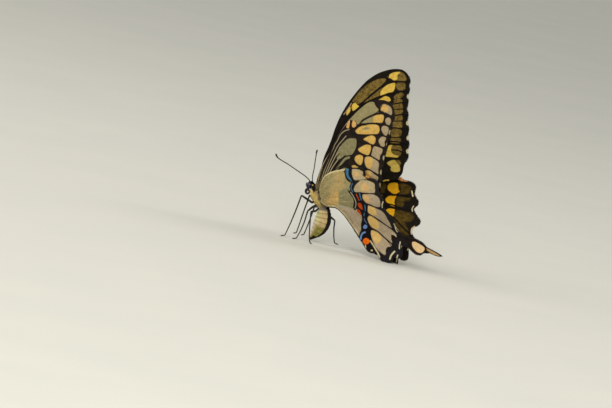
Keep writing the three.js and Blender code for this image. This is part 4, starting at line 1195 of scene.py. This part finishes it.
def hindwing_fields(S, T):
    """Fields of the hindwing's underside and upper side, and the distance to the nearest vein.  Veins
    are thinner on the base; the margin is dark, and a pale line follows the dark inner edge."""
    under, upper, vein = wing_fields(HW_UNDER, HW_UPPER, HW_VEINS, S, T)
    lobes = distance(curve([HW_FRONT[-1]] + HW_LOBES, 3), S, T)
    hind = distance(curve([HW_INNER[-1]] + HW_HIND, 3), S, T)
    inner = distance(curve(HW_INNER, LINE_STEPS), S, T)
    thick = np.where(under["base"] > 0, .06, .2)
    under["vein"] = np.maximum.reduce([under["vein"], thick - vein, .4 - inner])
    under["margin"] = 3.6 - np.minimum(lobes, hind)
    edge_line = np.where((S > 8) & (S < 25), .26 - np.abs(inner - .9), -1)
    under["cream"] = np.maximum(under["cream"], edge_line)
    for key in ("pale", "rose", "warm"):
        under[key] += .12
    return under, upper, vein


WINGS = {                                # rails, columns, place and fields of each kind of wing
    "fore": (forewing_rails, 58, forewing_place, forewing_fields),
    "hind": (hindwing_rails, 44, hindwing_place, hindwing_fields),
}


def wing_sheet(kind, side, size):
    """Grid of one wing: places (S, T) in its plane, middle points and outward normals.  Each row runs
    straight from the front edge to the middle line and on to the hind edge; between the veins the
    sheet bulges a little, by a bell curve of the distance to the nearest vein."""
    rails, cols, at, fields = WINGS[kind]
    front, ridge, back = (r[:, None, :] for r in rails(size.wing_fineness - (kind == "hind")))
    f = np.linspace(0, 2, 2 * cols + 1)[None, :, None]
    sheet = np.where(f <= 1, front + (ridge - front) * f, ridge + (back - ridge) * (f - 1))
    S, T = sheet[..., 0], sheet[..., 1]
    middle = at(side, S, T)
    normal = unit(np.cross(np.gradient(middle, axis=0), np.gradient(middle, axis=1)))
    sign = -1 if side == "left" else 1
    if normal[S.shape[0] // 2, cols, 1] * sign < 0:
        normal = -normal
    under, upper, vein = fields(S, T)
    middle = middle + normal * (size.pleat / MM * (1 - np.exp(-(vein / 1.3) ** 2)))[..., None]
    long, wide = (T + 3, S + 4) if kind == "fore" else (S, T + 1)
    flat = np.stack([long / 88 + .01, wide / 88 + .01], -1)
    return Sheet(S, T, middle, normal, under, upper, vein, flat)


def wing(name, sheet, materials, node, size):
    """Closed wing: the middle sheet moved half the thickness to each side along its normal, thicker
    along the veins by a bell-shaped rib, and closed by a strip of faces all round."""
    rows, cols = sheet.S.shape
    n = rows * cols
    half = size.wing_thickness / MM / 2 + size.vein_rib / MM * np.exp(-(sheet.vein / .32) ** 2)
    out = sheet.normal * half[..., None]
    points = np.concatenate([(sheet.middle + out).reshape(-1, 3), (sheet.middle - out).reshape(-1, 3)])
    under, _ = grid_faces(rows, cols)
    upper = under[:, ::-1] + n
    ring = np.concatenate([
        np.arange(cols), np.arange(1, rows) * cols + cols - 1,
        (rows - 1) * cols + np.arange(cols - 2, -1, -1), np.arange(rows - 2, 0, -1) * cols,
    ])
    nxt = np.roll(ring, -1)
    rim = np.stack([nxt, ring, ring + n, nxt + n], 1)
    flat = sheet.flat.reshape(-1, 2)
    uv = np.concatenate([flat, flat + [0, .5]])
    slots = np.concatenate([np.zeros(len(under)), np.ones(len(upper)), np.zeros(len(rim))])
    none = np.full(n, NOWHERE)
    fields = {}
    for key in sorted(set(sheet.under) | set(sheet.upper)):
        both = [side.get(key, none).ravel() for side in (sheet.under, sheet.upper)]
        fields[key] = np.concatenate(both)
    uvs = [uv[under], uv[upper], uv[rim % n]]
    make(name, points, [under, upper, rim], uvs, materials, fields, slots, [node], "wing_scales")


def fringe_tufts(sheet, kind, seed):
    """Fringe of scales along the outer margin: roots just inside the wing's edge, pointing outwards.
    Those at the shoulder of the hindwing are longer and amber, by a bell curve round it."""
    parts = []
    rng = np.random.default_rng(seed)
    edges, start = (((-1, -4), (0, 3)), .22) if kind == "hind" else (((-1, -4),), .3)
    rows = np.arange(len(sheet.S))
    for edge, inner in edges:
        run = run_of(sheet.middle[:, edge])
        lowest = run[int(len(rows) * start)]
        count = int((run[-1] - lowest) / FRINGE_STEP)
        row = np.interp(np.linspace(lowest, run[-1], count), run, rows)
        root, behind, up, uv = (at_rows(g, row) for g in (
            sheet.middle[:, edge], sheet.middle[:, inner], sheet.normal[:, edge], sheet.flat[:, edge]))
        s, t, under, upper = (at_rows(g[:, edge], row) for g in (
            sheet.S, sheet.T, sheet.under["fringe"], sheet.upper["fringe"]))
        tangent = unit(np.gradient(root, axis=0))
        lie = root - behind
        lie = unit(lie - tangent * np.sum(lie * tangent, 1, keepdims=True))
        shoulder = np.exp(-((s - 29.6) / 1.3) ** 2 - ((t - 36) / 1.2) ** 2) * (kind == "hind")
        up = up * rng.choice([-1.0, 1.0], (count, 1))
        parts.append((root - lie * .12, up, lie, .5 + 1.1 * shoulder, .045 + .02 * shoulder, .12, rng, uv,
                      {"fringe": np.maximum(under, upper), "orange": shoulder - .3}))
    return parts


def root_hair(sheet, kind, thick, seed):
    """Hair at the wing's root on both of its sides, thinner away from it, and on the hindwing along the
    inner edge too."""
    root = (3.5, 20.5) if kind == "hind" else (0, 2)
    far = np.hypot(sheet.S - root[0], (sheet.T - root[1]) * .8)
    weight = np.clip(1.4 - far / 7, 0, 1) ** 1.5
    if kind == "hind":
        inner = distance(curve(HW_INNER[:6], LINE_STEPS), sheet.S, sheet.T)
        weight = np.maximum(weight, np.clip(1 - inner / 3, 0, 1) * (sheet.T < 21) * .9) * (inner > .75)
    lie = np.gradient(sheet.middle, axis=0) + .4 * np.gradient(sheet.middle, axis=1)
    count, length, girth, rise = ROOT_HAIR
    parts = []
    for k, (face, shift) in enumerate(((1, 0), (-1, .5))):
        skin = sheet.middle + sheet.normal * face * thick / 2
        read, rng = scatter(skin, weight, count, seed + k)
        parts.append((read(skin), unit(read(sheet.normal)) * face, read(lie), length, girth, rise, rng,
                      read(sheet.flat) + [0, shift], {}))
    return parts


# ------------------------------------------------------------------ body, head and limbs
def body_grid(rows, sides):
    """Skin of head, thorax and abdomen: oval rings square to the body's line, with the abdomen's seven
    rings standing out of it a little towards their hind edges."""
    x, z, w, d = spaced(BODY, rows).T
    along = unit(np.gradient(np.stack([x, z], 1), axis=0))
    across = np.stack([-along[:, 1], along[:, 0]], 1)
    q = np.linspace(-np.pi, np.pi, sides + 1)[None, :]
    seg = np.clip((RINGS_FROM - z) / RING_LONG, 0, 7.4)
    ring = np.where((x > -.5) & (z < RINGS_FROM), .1 * (seg % 1.0) ** 1.5 - .04, 0)
    w, d = w + ring, d + ring
    X = x[:, None] + across[:, :1] * d[:, None] * np.cos(q)
    Z = z[:, None] + across[:, 1:] * d[:, None] * np.cos(q)
    P = np.stack([X, w[:, None] * np.sin(q), Z], -1)
    return (P,) + tuple(np.broadcast_to(v, X.shape) for v in (q, x[:, None], z[:, None], seg[:, None]))


def body_fields(P, q, x, z, seg):
    """Markings by place on the body.  q is the angle from the back, x and z the place of the body's line
    and seg the number of the abdomen's ring."""
    back = np.abs(q)

    def both(*limits):
        return np.minimum.reduce(limits)
    black = np.maximum.reduce([
        both((.56 - back) * 3.2, 16.4 - z),
        both(-4.0 - x, z - 20),
        both(-1.5 - x, (1.75 - back) * 3, z - 16),
        both((.85 - back) * 3, z - 15.8),
        both((back - 2.75) * 3, z - 14.5),
        both(3.6 - z, (1.2 - back) * 2),
    ])
    spot = np.stack([P[..., 0] + 4.15, np.abs(P[..., 1]) - 1.35, P[..., 2] - 24.75], -1)
    return {
        "black": black,
        "yellow": both((.62 - np.abs(back - 2.2)) * 3, z - 16.6, x + 4.3),
        "olive": both(8.1 - z, (1.8 - back) * 2),
        "pink": both(9.0 - z, (back - 1.85) * 2),
        "belly": both((.85 - np.abs(back - 2.5)) * 2.5, 14.5 - z),
        "grey": both(1.2 - np.abs(z - 16.2), (.55 - np.abs(back - 1.25)) * 3),
        "ringed": np.where(z < 15.4, .09 - np.abs((seg + .5) % 1.0 - .5), -1),
        "tip": 1.9 - z,
        "spot": .5 - np.linalg.norm(spot, axis=-1),
    }


def eye_middle(sign):
    """Middle of the left (-1) or right (1) eye."""
    return np.array(EYE_AT) * [1, -sign, 1]


def eyeball(sign, rows=48, sides=64):
    """Ellipsoid as rings from front to rear: cosine of one angle along, sine of it times cosine and sine
    of the other across and up."""
    a = np.linspace(.02, .98, rows)[:, None] * np.pi
    b = np.linspace(0, 2 * np.pi, sides, endpoint=False)[None, :]
    ball = np.stack([-np.cos(a) + 0 * b, np.sin(a) * np.cos(b), np.sin(a) * np.sin(b)], -1)
    return eye_middle(sign) + ball * EYE_SIZE


def tongue_rings():
    """Flat spiral whose radius falls evenly with the angle, ringed by a fine sine wave."""
    f = np.linspace(0, 1, 320)
    turn = np.radians(70) + f * TONGUE["turns"] * 2 * np.pi
    r = TONGUE["outer"] + (TONGUE["inner"] - TONGUE["outer"]) * f
    path = np.stack([TONGUE["x"] + r * np.cos(turn), 0 * f, TONGUE["z"] + r * np.sin(turn)], 1)
    return tube(path, TONGUE["girth"] * (1 - .3 * f) * (1 + .04 * np.sin(f * 250)), 16)


def jointed(path, count):
    """Straight stretches between joints in equal steps, the joints rounded by a short running mean."""
    line = even(np.array(path, float), count)
    for _ in range(2):
        line[1:-1] = (line[:-2] + 2 * line[1:-1] + line[2:]) / 4
    return line


def leg_girth(u, joints):
    """Half width along a leg: straight from joint to joint, the thigh swollen by half a sine wave, the
    knee drawn in by a bell curve and the foot drawn in between its five rings."""
    thigh = np.clip((u - joints[1]) / (joints[2] - joints[1]), 0, 1)
    foot = np.clip((u - joints[4]) / (joints[6] - joints[4]), 0, 1)
    r = np.interp(u, joints, LEG_GIRTH)
    r = r + .08 * np.sin(np.pi * thigh) - .06 * np.exp(-((u - joints[2]) / .25) ** 2)
    return r * np.where(foot > 0, 1 - .22 * np.exp(-((foot * 5 % 1 - .5) / .5 - 1) ** 2 * 8), 1)


def claws_and_spur(line, ankle):
    """Two hooked claws at the toe and a spur at the ankle."""
    toe, ahead = line[-1], unit(line[-1] - line[-6])
    beside = unit(np.cross(ahead, [0, 0, 1]))
    parts = []
    for s in (-1, 1):
        hook = np.array([
            toe - ahead * .1,
            toe + ahead * .25 + beside * s * .12 + [0, 0, .1],
            toe + ahead * .5 + beside * s * .2 + [0, 0, .02],
            toe + ahead * .6 + beside * s * .22 - [0, 0, .2],
        ])
        hook[:, 2] = np.maximum(hook[:, 2], .05)
        claw = tube(spaced(hook, 12), np.linspace(.09, .02, 13), 8)
        parts.append(closed_tube(claw, (.93, .01 + .5 * (s > 0), .06, .4)))
    spur = even(np.array([ankle, ankle + [-.5, 0, -.75]]), 8)
    parts.append(closed_tube(tube(spur, np.linspace(.1, .02, 9), 8), (.93, .45, .03, .05)))
    return parts


def feeler_rings(path):
    """Thin thread with 38 rings (a cosine to the eighth power) and a club, which is a bell curve up to
    its thickest place and a quarter oval beyond; the end is rounded off."""
    u = np.linspace(0, 1, 261)
    rear = np.exp(-(np.maximum(CLUB - u, 0) / .055) ** 2)
    front = np.where(u > CLUB, np.sqrt(np.maximum(1 - ((u - CLUB) / .05) ** 2, .05)), 1)
    r = .235 + .17 * rear * front - .028 * np.cos(u * 38 * 2 * np.pi) ** 8
    r = np.where(u > .985, r * np.sqrt(np.maximum(1 - ((u - .985) / .016) ** 2, .05)), r)
    return tube(spaced(path, 260), r, 14)


# ------------------------------------------------------------------ steps
class BUTTERFLY_OT_wings(bpy.types.Operator):
    """Builds the four wings with their markings and fringes"""
    bl_idname = "butterfly.wings"
    bl_label = "Wings"

    def execute(self, context):
        size = context.scene.butterfly_sizes
        fringe = fringe_material()
        faces = {kind: [wing_material(f"{kind}wing_{f}") for f in ("underside", "upper")] for kind in WINGS}
        hair = fur_material("wing_root_fur", "8c7a54", "c4b07c")
        for turn, (kind, side) in enumerate((k, s) for k in WINGS for s in ("left", "right")):
            sheet = wing_sheet(kind, side, size)
            wing(f"{kind}_wing_{side}", sheet, faces[kind], f"{kind}wing_{side}", size)
            scales = fringe_tufts(sheet, kind, SEEDS["fringe"] + turn)
            coat(f"fringe_{kind}_{side}", scales, fringe, "wing_scales")
            tuft = root_hair(sheet, kind, size.wing_thickness / MM, SEEDS["root"] + 2 * turn)
            coat(f"wing_root_hair_{kind}_{side}", tuft, hair, "wing_scales")
        return {"FINISHED"}


class BUTTERFLY_OT_body(bpy.types.Operator):
    """Builds one skin over head, thorax and abdomen"""
    bl_idname = "butterfly.body"
    bl_label = "Body"

    def execute(self, context):
        P, *places = body_grid(*BODY_GRID)
        fields = {}
        for key, f in body_fields(P, *places).items():
            fields[key] = np.concatenate([f[:, :-1].ravel(), [f[0, 0]], [f[-1, 0]]])
        make("body_skin", *closed_tube(P[:, :-1], (.01, .01, .5, .97)), [body_material("body_skin", False)],
             fields, nodes=["head", "thorax", "abdomen"], kind="abdomen_fur")
        return {"FINISHED"}


class BUTTERFLY_OT_coat(bpy.types.Operator):
    """Covers head and thorax with hair and the abdomen with short scales"""
    bl_idname = "butterfly.coat"
    bl_label = "Coat"

    def execute(self, context):
        P, q, x, z, seg = body_grid(*BODY_GRID)
        lie = np.gradient(P, axis=0)
        normal = unit(np.cross(lie, np.gradient(P, axis=1)))
        at = (P.shape[0] // 2, P.shape[1] // 4, 1)
        if normal[at] * P[at] < 0:
            normal = -normal
        fields = body_fields(P, q, x, z, seg)
        uv = unrolled(q.shape, (.01, .01, .98, .97))
        away = np.min([np.linalg.norm((P - eye_middle(s)) / EYE_SIZE, axis=-1) for s in (-1, 1)], axis=0)
        wide_enough = (np.ptp(P, axis=1).max(-1) > .3)[:, None]
        material = body_material("body_coat", True)
        thorax_hair = (THORAX_HAIR[0], context.scene.butterfly_sizes.hair_length / MM) + THORAX_HAIR[2:]
        jobs = (
            ("coat_head", (x < -4.1) & (away > 1.0), HEAD_HAIR, "body_dark"),
            ("coat_thorax", (x >= -4.3) & (z > 15.6), thorax_hair, "thorax_fur"),
            ("coat_abdomen", (z <= 16) & (x > -.6), ABDOMEN_SCALES, "abdomen_fur"),
        )
        for turn, (name, where, (count, length, girth, rise), kind) in enumerate(jobs):
            read, rng = scatter(P, where * wide_enough, count, SEEDS["coat"] + turn)
            at_root = {key: read(f) for key, f in fields.items()}
            tuft = (read(P), unit(read(normal)), read(lie), length, girth, rise, rng, read(uv), at_root)
            coat(name, [tuft], material, kind)
        return {"FINISHED"}


class BUTTERFLY_OT_head(bpy.types.Operator):
    """Builds eyes, palps and the coiled tongue"""
    bl_idname = "butterfly.head"
    bl_label = "Eyes, palps and tongue"

    def execute(self, context):
        facets = eye_material()
        shell = shell_material("tongue_shell", "100c0a", "2c231c", .4)
        skin = shell_material("palp_skin", "0c0a0a", "1c1816", .8)
        hair = []
        for side, s in (("left", -1), ("right", 1)):
            make(f"eyeball_{side}", *closed_tube(eyeball(s)), [facets], nodes=[f"eye_{side}"], kind="eye")
            path = spaced([(x, s * y, z) for x, y, z in PALP], 40)
            r = np.interp(np.linspace(0, 1, 41), [0, .3, .65, .92, 1], [.28, .38, .44, .3, .12])
            rings = tube(path, r, 20)
            make(f"palp_{side}_skin", *closed_tube(rings), [skin], nodes=[f"palp_{side}"], kind="body_dark")
            half = (.01 + .5 * (s > 0), .01, .47, .97)
            hair.append(tube_hair(rings, path, 1, PALP_HAIR, SEEDS["palp"] + s, half))
        coat("palp_hair", hair, fur_material("palp_fur", "0e0b0a", "38302a"), "body_dark")
        make("tongue", *closed_tube(tongue_rings()), [shell], nodes=["proboscis"], kind="leg_dark")
        return {"FINISHED"}


class BUTTERFLY_OT_limbs(bpy.types.Operator):
    """Builds legs with spurs, spines and claws, and the ringed feelers"""
    bl_idname = "butterfly.limbs"
    bl_label = "Legs and feelers"

    def execute(self, context):
        shell = shell_material("leg_shell", "0e0c0a", "26201a", .5)
        bristle = fur_material("leg_spines", "100d0b", "30281f")
        spines = []
        for turn, (name, path) in enumerate(LEGS.items()):
            count = 150
            line = jointed(path, count)
            joints = run_of(np.array(path))
            u = np.linspace(0, joints[-1], count + 1)
            rings = tube(line, leg_girth(u, joints), 14)
            ankle = line[int(count * joints[4] / joints[-1])]
            leg = [closed_tube(rings, (.01, .01, .9, .98))] + claws_and_spur(line, ankle)
            make(name.replace("leg_", "limb_"), *join(leg), [shell], nodes=[name], kind="leg_dark")
            haired = ((u > joints[1]) & (u < joints[6] - .3))[:, None]
            strip = (.01 + .16 * turn, .01, .144, .98)
            spines.append(tube_hair(rings, line, haired, LEG_SPINES, SEEDS["leg"] + turn, strip))
        coat("leg_spine_rows", spines, bristle, "leg_dark")
        for name, path in FEELERS.items():
            rings = feeler_rings(path)
            piece = name.replace("antenna", "feeler")
            make(piece, *closed_tube(rings), [shell], nodes=[name], kind="leg_dark")
        return {"FINISHED"}


def aim(camera):
    """Sets the camera at both angles, rolled so that its right lies in the plane that they give."""
    turn, over = math.radians(CAMERA["round"]), math.radians(CAMERA["over"])
    right = Vector((math.cos(over) * math.cos(turn), math.sin(turn), math.sin(over) * math.cos(turn)))
    up = Vector((-math.sin(over), 0, math.cos(over)))
    back = Vector((math.cos(over) * math.sin(turn), -math.cos(turn), math.sin(over) * math.sin(turn)))
    target = Vector(place([0, 0, 0])) - right * CAMERA["left"] * MM + up * CAMERA["above"] * MM
    camera.location = target + back * CAMERA["away"] * MM
    camera.rotation_mode = "QUATERNION"
    camera.rotation_quaternion = Matrix((right, up, back)).transposed().to_quaternion()


class BUTTERFLY_OT_stage(bpy.types.Operator):
    """Builds floor, light and camera"""
    bl_idname = "butterfly.stage"
    bl_label = "Stage"

    def execute(self, context):
        scene = context.scene
        scene.view_settings.view_transform = "Standard"
        bpy.ops.mesh.primitive_plane_add(size=FLOOR_SIZE)
        floor = context.object
        floor.name = "floor"
        n = Nodes("floor", .9, 0, .1)
        floor.data.materials.append(n.colour(n.mix(n.noise(60), rgb("c4c6c0"), rgb("ccccc6"))))
        scene.world = bpy.data.worlds.new("soft")
        scene.world.use_nodes = True
        sky = scene.world.node_tree.nodes["Background"].inputs
        sky["Color"].default_value = SKY_COLOUR
        sky["Strength"].default_value = SKY_POWER
        for name, (where, power, size) in LAMPS.items():
            data = bpy.data.lights.new(name, "AREA")
            data.energy = power
            data.size = size
            data.color = LAMP_COLOUR
            light = bpy.data.objects.new(name, data)
            scene.collection.objects.link(light)
            light.location = where
            light.rotation_mode = "QUATERNION"
            light.rotation_quaternion = (Vector(where) - Vector(LAMPS_AIM_AT)).to_track_quat("Z", "Y")
        data = bpy.data.cameras.new("camera")
        data.lens = CAMERA["lens"]
        data.sensor_width = CAMERA["sensor"]
        data.clip_end = 30
        camera = bpy.data.objects.new("camera", data)
        scene.collection.objects.link(camera)
        aim(camera)
        scene.camera = camera
        return {"FINISHED"}


class BUTTERFLY_PT_panel(bpy.types.Panel):
    """Lists the sizes, the colours and the steps that build the butterfly"""
    bl_idname = "BUTTERFLY_PT_panel"
    bl_label = "Butterfly"
    bl_space_type = "VIEW_3D"
    bl_region_type = "UI"
    bl_category = "Butterfly"

    def draw(self, context):
        for group in (context.scene.butterfly_sizes, context.scene.butterfly_colours):
            for key in type(group).__annotations__:
                self.layout.prop(group, key)
        for step in STEPS:
            self.layout.operator(step.bl_idname)


STEPS = (
    BUTTERFLY_OT_wings, BUTTERFLY_OT_body, BUTTERFLY_OT_coat, BUTTERFLY_OT_head, BUTTERFLY_OT_limbs,
    BUTTERFLY_OT_stage,
)
CLASSES = (ButterflySizes, ButterflyColours) + STEPS + (BUTTERFLY_PT_panel,)


def register():
    for c in CLASSES:
        bpy.utils.register_class(c)
    bpy.types.Scene.butterfly_sizes = bpy.props.PointerProperty(type=ButterflySizes)
    bpy.types.Scene.butterfly_colours = bpy.props.PointerProperty(type=ButterflyColours)


def unregister():
    del bpy.types.Scene.butterfly_colours
    del bpy.types.Scene.butterfly_sizes
    for c in reversed(CLASSES):
        bpy.utils.unregister_class(c)


def main():
    """Runs every step in order."""
    register()
    bpy.ops.butterfly.wings()
    bpy.ops.butterfly.body()
    bpy.ops.butterfly.coat()
    bpy.ops.butterfly.head()
    bpy.ops.butterfly.limbs()
    bpy.ops.butterfly.stage()


if __name__ == "__main__":
    main()
